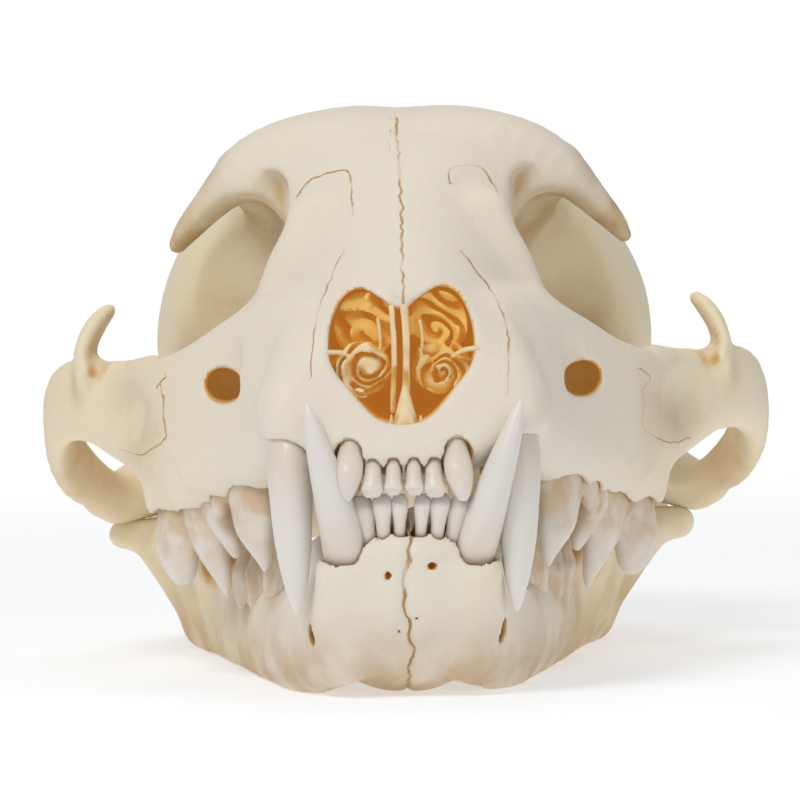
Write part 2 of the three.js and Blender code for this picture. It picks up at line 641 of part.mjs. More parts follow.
const upperPremolar = join(1,
  strand(TOOTH_ROW, [
    [21.5, 28.3, 31, 5.4, 2.2], [21.6, 28.4, 27, 5.6, 2.4], [21, 27, 21.8, 4, 2.2], [20.4, 26.3, 19.8, 2.5, 1.65],
    [19.8, 25.7, 18, 1.2, 0.9], [19.8, 25.6, 17.3, 0.5, 0.45]]),
  strand(TOOTH_ROW, [[25.6, 33.2, 28, 1.9, 1.5], [26.1, 33.7, 25, 1.5, 1.3], [26.2, 33.8, 24.4, 1, 1]]));

const carnassial = join(1,
  strand(TOOTH_ROW, [[26.6, 37.4, 26, 2.6, 2], [26.2, 37.1, 23, 2.3, 1.9], [24.9, 36.7, 20.3, 1.6, 1.35], [24.2, 36.5, 19, 1.1, 1]]),
  strand(TOOTH_ROW, [
    [28.5, 41.8, 26, 4.8, 2.6], [28.3, 41.7, 21.5, 4.4, 2.5], [27.4, 41.3, 17.8, 3.1, 1.9], [26.4, 41, 15, 1.8, 1.15],
    [25.7, 40.8, 12.9, 0.5, 0.45]]),
  strand(TOOTH_ROW, [[32.2, 48, 26, 4.7, 2.3], [32.8, 48.2, 19.5, 4.8, 2.4], [32.6, 48, 16.4, 3.9, 2], [32.3, 47.8, 14.9, 2, 1.1]]),
  ball([23.6, 37.4, 26.4], [2.2, 2, 2.4]));

const upperMolar = ball([28.6, 52.4, 24.4], [2.8, 1.6, 2.2]);

const lowerTooth = (x, y, half, top, gum) => join(0.7,
  strand(SIDE_Z, [
    [x - half * 0.4, y - half, gum - 0.6, 2, 1.5],
    [x, y, gum, 2.6, 1.8],
    [x + half * 0.4, y + half, gum - 0.6, 2, 1.5]]),
  strand([0.37, 0.93, 0], [
    [x, y, gum - 1, half * 0.8, 1.7], [x, y, (gum + top) / 2, half * 0.45, 1.2], [x, y, top - 0.5, 0.6, 0.5]]));

const lowerPremolarFront = lowerTooth(14.6, 23, 4, 20.6, 15.2);
const lowerPremolarBack = lowerTooth(17.6, 33.6, 5, 22, 15);
const lowerCarnassial = join(0.7, lowerTooth(20.6, 43.4, 3.8, 22.6, 14.6), lowerTooth(22.2, 50, 4.2, 23, 14.6));

const upperTeeth = [
  ...UPPER_INCISORS.map((size, i) => incisor(size, 1.2 + 0.3 * i * i, i === 2 ? 34 : 32.6, 38)),
  upperCanine, upperPremolar, carnassial, upperMolar,
];
const lowerTeeth = [
  ...LOWER_INCISORS.map((size, i) => incisor(size, 3 + 0.3 * i * i, i === 2 ? 23 : 23.6, 18)),
  lowerCanine, lowerPremolarFront, lowerPremolarBack, lowerCarnassial,
];

// The lower jaw sits a little askew under the cranium, as the photographed one does: its back is to
// one side, and it leans to the other with height.
const JAW_SHIFT = -0.2, JAW_SWING = -0.0176, JAW_LEAN = 0.045;
const leanAt = (y, z) => JAW_SHIFT + JAW_SWING * y + JAW_LEAN * z;
const leaning = (field, side) => {
  const box = field.box.clone();
  if (side < 0) [box.min.x, box.max.x] = [-box.max.x, -box.min.x];
  box.expandByVector(new THREE.Vector3(3, 0, 0));
  return { box, at: (x, y, z) => field.at(side * (x - leanAt(y, z)), y, z) };
};

const craniumBone = carve(0.8,
  carve(1.6,
    join(4, sectioned(VAULT), toothBearingMaxilla, molarCorner, canineRoot, zygomaticRoot, lacrimalRim, innerBar),
    beyond([0, 1.4, 33], [0, -1, 0.5]), beyond([0, 147.4, 50], [0, 1, -0.3]), orbit),
  noseHole);

const halfCranium = carve(0.6,
  join(2, carve(1.5, join(2, join(5, craniumBone, brow), arch), cheekHollow, infraorbitalFossa), socketLip, bulla,
    skullBase, pterygoid, mastoid, occipitalCondyle, nuchalCrest, sagittalCrest, templeLine, postglenoid, jugalHook,
    septum, turbinates),
  throat, infraorbitalCanal, spinalHole, earHole);

// The jaw's condyles turn in sockets, and its canines close into notches.
const closing = [condyle, lowerCanine].flatMap((field) => [leaning(field, 1), leaning(field, -1)]);
const cranium = carve(0.4, mirrored(halfCranium), ...closing.map((field) => swell(field, GAP + 0.2)));

const jawHalf = carve(0.6, carve(2, join(2.5, jawBody, ramus), masseterHollow), mentalHole);

const jaw = join(1, jawHalf, condyle);

const skull = new THREE.Group();

function addNode(name, solid, colour, roughness) {
  const { vertProperties, triVerts } = solid.getMesh();
  const geometry = new THREE.BufferGeometry()
    .setAttribute("position", new THREE.BufferAttribute(vertProperties, 3))
    .setIndex(new THREE.BufferAttribute(triVerts, 1));
  geometry.computeVertexNormals();
  const mesh = new THREE.Mesh(geometry, new THREE.MeshStandardMaterial({ color: colour, roughness, metalness: 0 }));
  mesh.name = name;
  skull.add(mesh);
}

const toothFaces = (field) => {
  const size = field.box.getSize(new THREE.Vector3());
  return Math.round(36 + 2.4 * (size.x + size.y + size.z));
};

// Named nodes: sagittal cuts part the zygomatic arches from the cranium, and a cross cut parts the
// face from the braincase.
const ARCH_CUT = 39, WAIST_CUT = 76;

const upperSet = upperTeeth.map((tooth) => solidFrom(tooth, TOOTH_STEP, toothFaces(tooth)));
const lowerCanineRoom = [1, -1].map((side) => solidFrom(swell(leaning(lowerCanine, side), GAP), TOOTH_STEP, 140));
const wholeCranium = lowerCanineRoom.reduce((all, room) => all.subtract(room), [...upperSet, ...upperSet.map(flipX)]
  .reduce((all, tooth) => all.add(tooth), solidFrom(cranium, BONE_STEP, CRANIUM_FACES)));
const middle = wholeCranium.trimByPlane([1, 0, 0], -ARCH_CUT).trimByPlane([-1, 0, 0], -ARCH_CUT);
addNode("face", largest(middle.trimByPlane([0, -1, 0], GAP / 2 - WAIST_CUT)), BONE_COLOUR, 0.6);
addNode("braincase", largest(middle.trimByPlane([0, 1, 0], WAIST_CUT + GAP / 2)), BONE_COLOUR, 0.6);
addNode("zygomatic_arch_left", largest(wholeCranium.trimByPlane([1, 0, 0], ARCH_CUT + GAP)), BONE_COLOUR, 0.6);
addNode("zygomatic_arch_right", largest(wholeCranium.trimByPlane([-1, 0, 0], ARCH_CUT + GAP)), BONE_COLOUR, 0.6);

for (const [side, name] of [[1, "mandible_left"], [-1, "mandible_right"]]) {
  const teeth = lowerTeeth.map((tooth) => solidFrom(leaning(tooth, side), TOOTH_STEP, toothFaces(tooth)));
  const half = teeth.reduce((all, tooth) => all.add(tooth), solidFrom(leaning(jaw, side), BONE_STEP, JAW_FACES));
  addNode(name, largest(half.trimByPlane([side, 0, 0], GAP / 2).trimByPlane([0, 0, 1], TABLE)), BONE_COLOUR, 0.6);
}

skull.position.set(0, -SKULL_LENGTH / 2, -TABLE);

export default skull;
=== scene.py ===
# %% [markdown]
# # A lynx skull
# A dry skull is bone and teeth. The bone is grown here from distance fields: numbers that say, for
# every point in space, how far it is from the surface. The teeth are extruded by hand, ring by ring.
# This first cell opens the measured model that everything else has to fit.

# %% Open the measured frame
import math
import random

import bpy
import numpy as np
from mathutils import Matrix, Vector


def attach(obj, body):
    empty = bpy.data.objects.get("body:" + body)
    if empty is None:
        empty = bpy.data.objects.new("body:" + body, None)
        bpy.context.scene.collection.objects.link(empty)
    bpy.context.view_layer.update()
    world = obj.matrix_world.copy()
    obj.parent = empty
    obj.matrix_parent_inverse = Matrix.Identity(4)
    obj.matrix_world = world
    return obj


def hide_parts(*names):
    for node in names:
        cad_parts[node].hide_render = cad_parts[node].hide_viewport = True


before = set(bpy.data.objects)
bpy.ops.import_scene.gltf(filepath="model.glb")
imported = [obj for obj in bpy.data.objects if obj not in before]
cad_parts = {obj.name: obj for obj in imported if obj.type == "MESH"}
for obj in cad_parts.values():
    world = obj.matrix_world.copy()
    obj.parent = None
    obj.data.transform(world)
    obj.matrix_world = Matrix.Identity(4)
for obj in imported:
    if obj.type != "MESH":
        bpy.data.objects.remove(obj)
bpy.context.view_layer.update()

MM = 0.001
SKULL_LENGTH = 151.0
FRONT = Vector((0, -SKULL_LENGTH / 2, 0)) * MM  # the front of the incisors, on the mid plane


def place(x, y, z):
    """A point given in skull millimetres (y back from the incisors), in the scene's metres."""
    return FRONT + Vector((x, y, z)) * MM


# %% [markdown]
# ## The camera
# The photograph was taken from straight ahead with a long lens, a little above the skull. The lens
# and height were found by fitting the skull's own landmarks, and the picture is turned by about a
# degree, as a hand-levelled tripod leaves it.

# %% Set up the camera
FRAME_PIXELS = 800
FOCAL_PIXELS = 5920
CAMERA_AT = (4.2, -800, 75)
HORIZON_ABOVE_CENTRE = 249.5
MIDLINE_RIGHT_OF_CENTRE = 2
ROLL = math.radians(1.3)

lens = bpy.data.cameras.new("photo_lens")
lens.sensor_width = 36
lens.lens = lens.sensor_width * FOCAL_PIXELS / FRAME_PIXELS
lens.clip_start = 0.05
camera = bpy.data.objects.new("photo_camera", lens)
bpy.context.scene.collection.objects.link(camera)
bpy.context.scene.camera = camera
yaw = math.atan(MIDLINE_RIGHT_OF_CENTRE / FOCAL_PIXELS) + math.atan(CAMERA_AT[0] / -CAMERA_AT[1])
pitch = math.pi / 2 - math.atan(HORIZON_ABOVE_CENTRE / FOCAL_PIXELS)
turn = Matrix.Rotation(yaw, 4, "Z") @ Matrix.Rotation(pitch, 4, "X") @ Matrix.Rotation(-ROLL, 4, "Z")
camera.matrix_world = Matrix.Translation(place(*CAMERA_AT)) @ turn
print("lens in millimetres", round(lens.lens, 1))


# %% [markdown]
# ## Light and floor
# The skull stands in a white studio. One wide soft light hangs above and in front, a weaker one fills
# from the other side, and the white room does the rest, so the only real shadow is under the jaw.

# %% Light the studio
WHITE = (1.0, 1.0, 1.0, 1.0)


def set_inputs(node, values):
    """Set a shader node's unlinked inputs by name."""
    for name, value in values.items():
        node.inputs[name].default_value = value


def soft_light(name, at, aim, size, power, colour):
    lamp = bpy.data.lights.new(name, "AREA")
    lamp.shape = "DISK"
    lamp.size = size
    lamp.energy = power
    lamp.color = colour
    holder = bpy.data.objects.new(name, lamp)
    bpy.context.scene.collection.objects.link(holder)
    holder.location = at
    holder.rotation_euler = (Vector(aim) - Vector(at)).to_track_quat("-Z", "Y").to_euler()


LOOK_AT = (0, 0, 0.04)
soft_light("key_light", (-0.38, -0.6, 0.78), LOOK_AT, 0.42, 4.1, (1.0, 0.985, 0.955))
soft_light("fill_light", (0.75, -0.6, 0.3), LOOK_AT, 0.6, 0.9, (0.97, 0.985, 1.0))
soft_light("top_light", (0.0, 0.3, 0.85), LOOK_AT, 0.6, 1.2, (1.0, 1.0, 1.0))

# %% [markdown]
# The room itself is white. The camera sees it at full white, and the skull is lit by less of it, so
# that the forms keep their shading.

# %% Paint the room
ROOM_LIGHT = 0.42

world = bpy.data.worlds.new("white_room")
bpy.context.scene.world = world
world.use_nodes = True
room = world.node_tree
lit = room.nodes["Background"]
set_inputs(lit, {"Color": WHITE, "Strength": ROOM_LIGHT})
backdrop = room.nodes.new("ShaderNodeBackground")
set_inputs(backdrop, {"Color": WHITE, "Strength": 1.0})
choice = room.nodes.new("ShaderNodeMixShader")
room.links.new(room.nodes.new("ShaderNodeLightPath").outputs["Is Camera Ray"], choice.inputs["Fac"])
room.links.new(lit.outputs["Background"], choice.inputs[1])
room.links.new(backdrop.outputs["Background"], choice.inputs[2])
room.links.new(choice.outputs["Shader"], room.nodes["World Output"].inputs["Surface"])
bpy.context.scene.view_settings.view_transform = "Standard"

# %% [markdown]
# The floor is a disc that fades out into the white room, so that no edge or horizon shows and only
# the soft shadow under the jaw is left of it.

# %% Lay the floor
FLOOR_RADIUS = 0.6
FADE_FROM, FADE_TO = 0.16, 0.5
FLOOR_GLOW = 0.47  # a light table, so that the shadows stay pale

bpy.ops.object.select_all(action="DESELECT")
bpy.ops.mesh.primitive_circle_add(vertices=96, radius=FLOOR_RADIUS, fill_type="TRIFAN")
floor = bpy.context.object
floor.name = "studio_floor"
floor_paint = bpy.data.materials.new("studio_white")
floor_paint.use_nodes = True
tree = floor_paint.node_tree
paint = tree.nodes["Principled BSDF"]
set_inputs(paint, {"Base Color": (0.6, 0.615, 0.64, 1), "Emission Color": WHITE,
                   "Emission Strength": FLOOR_GLOW, "Roughness": 0.8, "Specular IOR Level": 0.1})
where = tree.nodes.new("ShaderNodeTexCoord")
distance_out = tree.nodes.new("ShaderNodeVectorMath")
distance_out.operation = "LENGTH"
tree.links.new(where.outputs["Object"], distance_out.inputs[0])
fade = tree.nodes.new("ShaderNodeMapRange")
fade.interpolation_type = "SMOOTHSTEP"
set_inputs(fade, {"From Min": FADE_FROM, "From Max": FADE_TO, "To Min": 1.0, "To Max": 0.0})
tree.links.new(distance_out.outputs["Value"], fade.inputs["Value"])
tree.links.new(fade.outputs["Result"], paint.inputs["Alpha"])
floor.data.materials.append(floor_paint)


# %% [markdown]
# ## Distance fields
# A field is kept as a block of numbers on a fine grid. Each bony part is added to the block only
# where it reaches, and blended with what is there, so parts run into each other with soft fillets,
# as growing bone does. Taking the larger of two fields, with one turned inside out, cuts a hollow.

# %% Grids and blending
BONE_STEP = 0.46  # millimetres between the grid's points
FAR = 50.0


def blend_min(a, b, k):
    near = np.maximum(k - np.abs(a - b), 0)
    return np.minimum(a, b) - near * near / (4 * k)


class Block:
    """A box of space, sampled at even steps, holding the distance to a surface."""

    def __init__(self, low, high, step=BONE_STEP):
        self.low = np.array(low, float)
        self.step = step
        self.axes = [np.arange(low[i], high[i] + step, step, dtype=np.float32) for i in range(3)]
        self.clear()

    def clear(self):
        self.d = np.full([len(a) for a in self.axes], FAR, np.float32)

    def twin(self):
        """An empty block on the same grid."""
        other = Block.__new__(Block)
        other.low, other.step, other.axes = self.low, self.step, self.axes
        other.clear()
        return other

    def spread(self):
        """The grid's coordinates along x, y and z, each shaped to fill the block."""
        return (a.reshape(shape) for a, shape in zip(self.axes, [(-1, 1, 1), (1, -1, 1), (1, 1, -1)]))

    def part(self, box, margin):
        """The slices and coordinates of the grid within a box, with a margin round it."""
        cut = []
        for a, lo, hi in zip(self.axes, *box):
            i = np.searchsorted(a, lo - margin)
            cut.append(slice(i, max(np.searchsorted(a, hi + margin), i)))
        x, y, z = (a[s] for a, s in zip(self.axes, cut))
        return tuple(cut), x[:, None, None], y[None, :, None], z[None, None, :]

    def add(self, shape, k=2.0):
        cut, x, y, z = self.part(shape.box, k + 1.5)
        if self.d[cut].size:
            self.d[cut] = blend_min(self.d[cut], shape(x, y, z), k)

    def carve(self, shape, k=0.6):
        cut, x, y, z = self.part(shape.box, k + 1.5)
        if self.d[cut].size:
            self.d[cut] = -blend_min(-self.d[cut], shape(x, y, z), k)

    def at(self, points):
        """The field at any points, by straight-line interpolation."""
        g = (np.asarray(points) - self.low) / self.step
        top = np.array(self.d.shape) - 1.001
        g = np.clip(g, 0, top)
        i = g.astype(int)
        f = g - i
        total = 0
        for corner in range(8):
            o = np.array([corner & 1, corner >> 1 & 1, corner >> 2])
            w = np.prod(np.where(o == 1, f, 1 - f), axis=1)
            total = total + w * self.d[tuple((i + o).T)]
        return total


# %% [markdown]
# Four kinds of shape are enough for a skull: a ball, a strand (a bar of oval section along a smooth
# line), a sectioned body for the braincase, and a prism for an outline that is known from the front.

# %% Shapes
class Shape:
    def __init__(self, box, distance):
        self.box = box
        self.distance = distance

    def __call__(self, x, y, z):
        return self.distance(x, y, z)


def oval(u, v, w, a, b, c):
    k0 = np.sqrt((u / a) ** 2 + (v / b) ** 2 + (w / c) ** 2)
    k1 = np.sqrt((u / a ** 2) ** 2 + (v / b ** 2) ** 2 + (w / c ** 2) ** 2)
    return k0 * (k0 - 1) / np.maximum(k1, 1e-6)


def ball(at, radii):
    at, radii = np.array(at, float), np.array(radii, float)
    return Shape((at - radii, at + radii),
                 lambda x, y, z: oval(x - at[0], y - at[1], z - at[2], *radii))


def smooth_line(points, per_span):
    """Catmull-Rom points through the given ones."""
    p = np.array(points, float)
    p = np.vstack([2 * p[0] - p[1], p, 2 * p[-1] - p[-2]])
    out = []
    for i in range(1, len(p) - 2):
        for t in np.arange(per_span) / per_span:
            out.append(0.5 * (2 * p[i] + (p[i + 1] - p[i - 1]) * t
                              + (2 * p[i - 1] - 5 * p[i] + 4 * p[i + 1] - p[i + 2]) * t ** 2
                              + (3 * p[i] - p[i - 1] - 3 * p[i + 1] + p[i + 2]) * t ** 3))
    return np.array(out + [p[-2]])


def strand(side, points, per_span=3):
    """A bar through points (x, y, z, a, b): a is its half width along side, b across it."""
    line = smooth_line(points, per_span)
    reach = line[:, 3:].max(axis=1)[:, None]
    box = ((line[:, :3] - reach).min(axis=0), (line[:, :3] + reach).max(axis=0))
    side = np.array(side, float)

    def distance(x, y, z):
        best = None
        for p, q in zip(line[:-1], line[1:]):
            run = q[:3] - p[:3]
            length = np.linalg.norm(run)
            run = run / length
            across = side - run * side.dot(run)
            across = across / np.linalg.norm(across)
            other = np.cross(run, across)
            dx, dy, dz = x - p[0], y - p[1], z - p[2]
            s = dx * run[0] + dy * run[1] + dz * run[2]
            h = np.clip(s / length, 0, 1)
            a = p[3] + h * (q[3] - p[3])
            b = p[4] + h * (q[4] - p[4])
            u = dx * across[0] + dy * across[1] + dz * across[2]
            v = dx * other[0] + dy * other[1] + dz * other[2]
            d = oval(u, v, s - h * length, a, b, np.minimum(a, b))
            best = d if best is None else np.minimum(best, d)
        return best

    return Shape(box, distance)


def along(stations, y):
    """Station values at y, joined by the same smooth curve between neighbours."""
    s = np.array(stations, float)
    y = np.clip(y, s[0, 0], s[-1, 0])
    i = np.clip(np.searchsorted(s[:, 0], y, side="right") - 1, 0, len(s) - 2)
    before, after = np.maximum(i - 1, 0), np.minimum(i + 2, len(s) - 1)
    span = s[i + 1, 0] - s[i, 0]
    t = ((y - s[i, 0]) / span)[:, None]
    slope_in = (s[i + 1] - s[before]) / (s[i + 1, 0] - s[before, 0])[:, None] * span[:, None]
    slope_out = (s[after] - s[i]) / (s[after, 0] - s[i, 0])[:, None] * span[:, None]
    return ((2 * t ** 3 - 3 * t ** 2 + 1) * s[i] + (t ** 3 - 2 * t ** 2 + t) * slope_in
            + (3 * t ** 2 - 2 * t ** 3) * s[i + 1] + (t ** 3 - t ** 2) * slope_out)[:, 1:]


def sectioned(stations):
    """A body of sections (y, top, widest height, bottom, half width, power)."""
    s = np.array(stations, float)
    wide = s[:, 4].max()
    box = (np.array([-wide, s[0, 0], s[:, 3].min()]), np.array([wide, s[-1, 0], s[:, 1].max()]))

    def distance(x, y, z):
        top, widest, bottom, half, power = (v[None, :, None] for v in along(stations, y.ravel()).T)
        rise = np.where(z > widest, top - widest, widest - bottom)
        u = np.abs(x) / half + 1e-4
        v = np.abs(z - widest) / rise + 1e-4
        q = (u ** power + v ** power) ** (1 / power)
        slope = q ** (1 - power) * np.hypot(u ** (power - 1) / half, v ** (power - 1) / rise)
        d = np.maximum((q - 1) / slope, -np.minimum(half, rise))
        ends = np.maximum(s[0, 0] - y, y - s[-1, 0])
        return -blend_min(-d, -ends, 2)

    return Shape(box, distance)


def prism(outline, front, back, per_span=4):
    """A straight hole along y whose outline in x and z is a smooth closed line."""
    p = np.array(outline, float)
    ring = smooth_line(np.vstack([p[-1:], p, p[:2]]), per_span)[per_span:-per_span - 1]
    box = (np.array([ring[:, 0].min(), front, ring[:, 1].min()]),
           np.array([ring[:, 0].max(), back, ring[:, 1].max()]))

    def distance(x, y, z):
        px, pz = x[:, 0, 0][:, None], z[0, 0, :][None, :]
        near = np.full((px.shape[0], pz.shape[1]), 1e9)
        inside = np.zeros(near.shape, bool)
        for a, b in zip(ring, np.roll(ring, 1, axis=0)):
            ex, ez = b - a
            wx, wz = px - a[0], pz - a[1]
            h = np.clip((wx * ex + wz * ez) / (ex * ex + ez * ez), 0, 1)
            near = np.minimum(near, (wx - h * ex) ** 2 + (wz - h * ez) ** 2)
            if ez:
                inside ^= ((a[1] > pz) != (b[1] > pz)) & (px < ex * (pz - a[1]) / ez + a[0])
        flat = np.where(inside, -np.sqrt(near), np.sqrt(near))[:, None, :]
        return -blend_min(-flat, -np.maximum(front - y, y - back), 1)

    return Shape(box, distance)


def beyond(at, normal):
    """All space on the far side of a plane, for carving."""
    n = np.array(normal, float) / np.linalg.norm(normal)
    everywhere = (np.full(3, -1e3), np.full(3, 1e3))
    return Shape(everywhere, lambda x, y, z: -((x - at[0]) * n[0] + (y - at[1]) * n[1] + (z - at[2]) * n[2]))


def swell(shape, by):
    return Shape((shape.box[0] - by, shape.box[1] + by), lambda x, y, z: shape(x, y, z) - by)


# %% [markdown]
# ## The cranium
# The same measured forms as the solid model: a vault from nose to occiput, the tooth-bearing maxilla,
# the brow shield with its postorbital processes, the cheek arches, and the base with its bullae.

# %% Bones of the cranium
VAULT = [
    (4, 47, 38, 32, 12.5, 2.4), (12, 55.2, 38, 31.5, 15.5, 2.3), (20, 60.3, 39, 31, 16.6, 2.2),
    (30, 66.2, 41, 29.6, 18.2, 2.1), (40, 71.8, 48, 30, 19, 2.2), (48, 76, 60, 34, 20.4, 2.3),
    (56, 78.8, 65, 38, 24, 2.4), (64, 80.3, 66, 40, 26, 2.4), (71, 81, 65, 40, 25, 2.3),
    (78, 80.9, 60, 40, 24, 2.2), (86, 80.2, 55, 36, 30, 2.1), (95, 78.4, 50, 31, 35.4, 2.1),
    (105, 75.4, 46, 26, 37.6, 2.1), (116, 71.4, 45, 23, 36, 2.1), (127, 66, 42, 21, 32.5, 2.1),
    (138, 59, 40, 20, 27, 2.1), (149, 51, 38, 20, 20, 2.1),
]
SIDE_X, SIDE_Y, SIDE_Z = (1, 0, 0), (0, 1, 0), (0, 0, 1)
ARCH_HALF_WIDTH = 53.6

tooth_bearing_maxilla = strand(SIDE_X, [
    (3, 6.6, 37, 6.4, 5), (12, 10.5, 39.6, 6.6, 5.2), (16.4, 18, 38.5, 4.6, 7.6), (20, 26, 36.5, 4.8, 8.6),
    (24.5, 35, 34.8, 5.4, 8.8), (29.8, 44, 32.4, 5.2, 9), (32, 50, 31.2, 4.8, 8.4), (31, 56, 33, 3.6, 5.5)])
canine_root = strand(SIDE_X, [(15.1, 9.4, 37.8, 4.3, 4.7), (14.2, 13.5, 45, 3.5, 3.8), (13, 19, 51, 2.8, 3)])
molar_corner = strand(SIDE_X, [(35, 48, 32, 3, 3), (35.5, 50.5, 25.2, 2, 2.6)])
zygomatic_root = strand(SIDE_Z, [
    (15, 24, 46, 9, 6), (20, 32, 45.5, 9.5, 6), (27, 39.5, 42.6, 9.6, 4.6), (34, 47.5, 39.4, 8, 3.8),
    (40.5, 55.5, 38.9, 6.6, 3)])
lacrimal_rim = strand(SIDE_X, [(13, 41, 65, 3.4, 4.4), (15.2, 38, 59.4, 3.6, 4), (18.2, 38.4, 53.4, 4, 4)])
brow = strand(SIDE_Y, [
    (0, 69, 75, 12, 4), (9, 68, 76, 12, 4), (16.6, 64.4, 75, 10, 4), (22.4, 63, 72.6, 8, 3.4),
    (27, 63.4, 68.4, 5.6, 2.6), (30.8, 65, 64.4, 3.2, 1.8), (32.6, 66, 62, 1.6, 1.1)])
ORBIT_RIM = [
    (15.7, 67.2), (16.2, 71.4), (19.7, 73.2), (25.4, 70.6), (30, 67), (33, 63), (40, 60), (44, 53),
    (44, 45.6), (38, 45.4), (31.8, 47.2), (26, 50.6), (21, 54.2), (19.3, 57.6), (18.2, 60.6), (16.4, 64)]
orbit = [
    prism(ORBIT_RIM, 24, 54), ball((30.5, 61, 57.5), (17, 18, 14.6)), ball((34, 74, 50), (19, 15, 19)),
    ball((31, 60, 44), (12, 9, 11))]
arch = strand(SIDE_Z, [
    (36.5, 50.5, 37.4, 9.2, 3.4), (41, 56, 38.2, 7.3, 2.9), (44.8, 61.5, 39.2, 6.2, 2.6),
    (48.8, 69, 39.2, 5.8, 2.4), (ARCH_HALF_WIDTH - 2.3, 77, 37, 5.6, 2.3),
    (ARCH_HALF_WIDTH - 2.1, 85, 32.6, 5, 2.3), (49.6, 91.5, 27.8, 4.2, 2.5), (46, 96.5, 24.6, 3.1, 3.2),
    (41.5, 100.5, 23.8, 2.7, 4.8), (34, 103, 25.6, 3.8, 6), (28, 104, 30, 5, 6.5)])
cheek_hollow = ball((46, 46.5, 38.5), (9, 9, 7.5))
jugal_hook = strand(SIDE_Y, [
    (45.6, 60, 42, 5.6, 1.7), (46.4, 62, 45.6, 4.4, 1.35), (45.8, 64, 48.6, 3.4, 1.3),
    (44.4, 65.8, 51, 2.5, 1.15), (43.1, 66.8, 52.4, 1.5, 0.8)])
socket_lip = strand(SIDE_Z, [(46.4, 97, 22.6, 2, 2.2), (43.6, 99, 20.9, 1.8, 2), (38, 102.5, 22.6, 2, 3)])
inner_bar = strand(SIDE_X, [
    (0, 36, 38, 14, 10), (0, 52, 38, 13, 12), (0, 66, 39, 10.5, 11.5), (0, 80, 38, 10, 10.5),
    (0, 94, 34, 11, 9)])
pterygoid = strand(SIDE_Z, [(8.4, 62, 29, 6, 2.4), (7.8, 74, 26, 5.4, 1.8), (8, 84, 23.4, 4, 1.3),
                            (8.6, 89, 20.4, 1.8, 1)])
bulla = ball((16.5, 112, 23.5), (8.2, 13, 8))
skull_base = strand(SIDE_X, [(0, 90, 28, 10, 4), (0, 110, 24, 9, 4), (0, 128, 22, 8, 4), (0, 138, 21, 9, 3)])
mastoid = [
    strand(SIDE_Y, [(31, 120, 34, 5, 4), (30.5, 122, 27, 4.4, 3.6), (29.5, 123.5, 21.5, 2.6, 2.2)]),
    strand(SIDE_Y, [(22, 129, 26, 3.6, 4), (21.5, 130, 20, 3, 2.6), (20.8, 129.6, 14.6, 1.9, 1.6)]),
    strand(SIDE_Z, [(42, 100, 25.8, 2.2, 3), (36.5, 107, 29.6, 2.4, 3), (33, 115, 31.5, 2.6, 2.4),
                    (31, 122, 30, 3, 2.4)])]
occipital_condyle = strand(SIDE_Z, [(5, 138, 20, 3, 4), (9.4, 142.6, 24, 5.6, 4.4),
                                    (10.4, 142.2, 29, 4, 3.6)])
nuchal_crest = strand(SIDE_Y, [
    (0, 148.8, 52.2, 2.4, 1.6), (11, 147, 49.4, 2.2, 1.5), (20, 142, 42.4, 2, 1.4), (27, 133, 33.6, 2, 1.4),
    (30.6, 125, 27, 2, 1.6)])
sagittal_crest = strand(SIDE_X, [
    (0, 120, 69.4, 0.8, 1.2), (0, 132, 63.2, 1, 2.2), (0, 142, 57.2, 1.1, 2.6), (0, 148.4, 52.6, 1.1, 2.2)])
temple_line = strand(SIDE_X, [
    (25, 66, 73.4, 0.9, 1.1), (18, 75, 77.8, 0.9, 1), (12, 87, 78.5, 0.9, 1), (6, 103, 75.4, 0.8, 1),
    (0.6, 119, 69.8, 0.8, 1.1)])
postglenoid = strand(SIDE_X, [(36, 105.6, 25, 5.5, 2.6), (35.5, 105.8, 19, 4.4, 1.5)])

# %% [markdown]
# The hollows are cut from it: the heart-shaped opening of the nose, the nerve canals of the cheeks, the
# throat, the holes of the ears, the spine and small nerves, and the gap beside each upper canine.

# %% Hollows of the cranium
NOSE_HALF = [
    (2.6, 54.9), (5.4, 56.2), (7.8, 55.2), (9.4, 52.4), (10.05, 49.4), (9.9, 46.6), (8.8, 44.4), (7.1, 42.4),
    (5.3, 40.2), (3.2, 38.3)]
NOSE_RIM = [(0, 53.2)] + NOSE_HALF + [(0, 37.6)] + [(-x, z) for x, z in reversed(NOSE_HALF)]
NOSE_DEPTH = 30
NOSE_PLANE_AT, NOSE_SLANT = (0, 1.4, 33), 0.5
nose_hole = prism(NOSE_RIM, -6, NOSE_DEPTH)
throat = strand(SIDE_X, [(0, 46, 31.5, 5.5, 2.6), (0, 60, 30, 6.4, 4), (0, 74, 26, 6, 6.4),
                         (0, 92, 20, 6.4, 4)])
infraorbital_canal = strand(SIDE_X, [(24.9, 24, 42.3, 2.4, 2), (25, 36.5, 42.8, 2.6, 2.6)])
infraorbital_fossa = ball((24.9, 26.4, 45.6), (2.4, 2.8, 4.4))
spinal_hole = strand(SIDE_X, [(0, 150, 27, 7.2, 6), (0, 140, 29.5, 7, 5.8), (0, 122, 34, 6.4, 5.4)])
ear_hole = ball((28, 111.5, 25), (6, 2.6, 2.6))
canine_gap = ball((19.3, 7.4, 33.4), (1.1, 3.6, 3))
small_foramina = [ball((27.9, 37, 36.4), (0.5, 3, 0.6)), ball((14.6, 15, 46.4), (0.4, 4, 0.5)),
                  ball((30.2, 40, 33), (0.35, 3, 0.7))]


def nose_front(z):
    """How far back the slanting front of the nose lies at a height."""
    return NOSE_PLANE_AT[1] + (z - NOSE_PLANE_AT[2]) * NOSE_SLANT


# %% [markdown]
# ## The lower jaw
# Each half is a curved bar with a tall plate at its back for the chewing muscles, and a crosswise
# condyle that turns in the cranium's socket. It sits a little askew, as in the photograph.

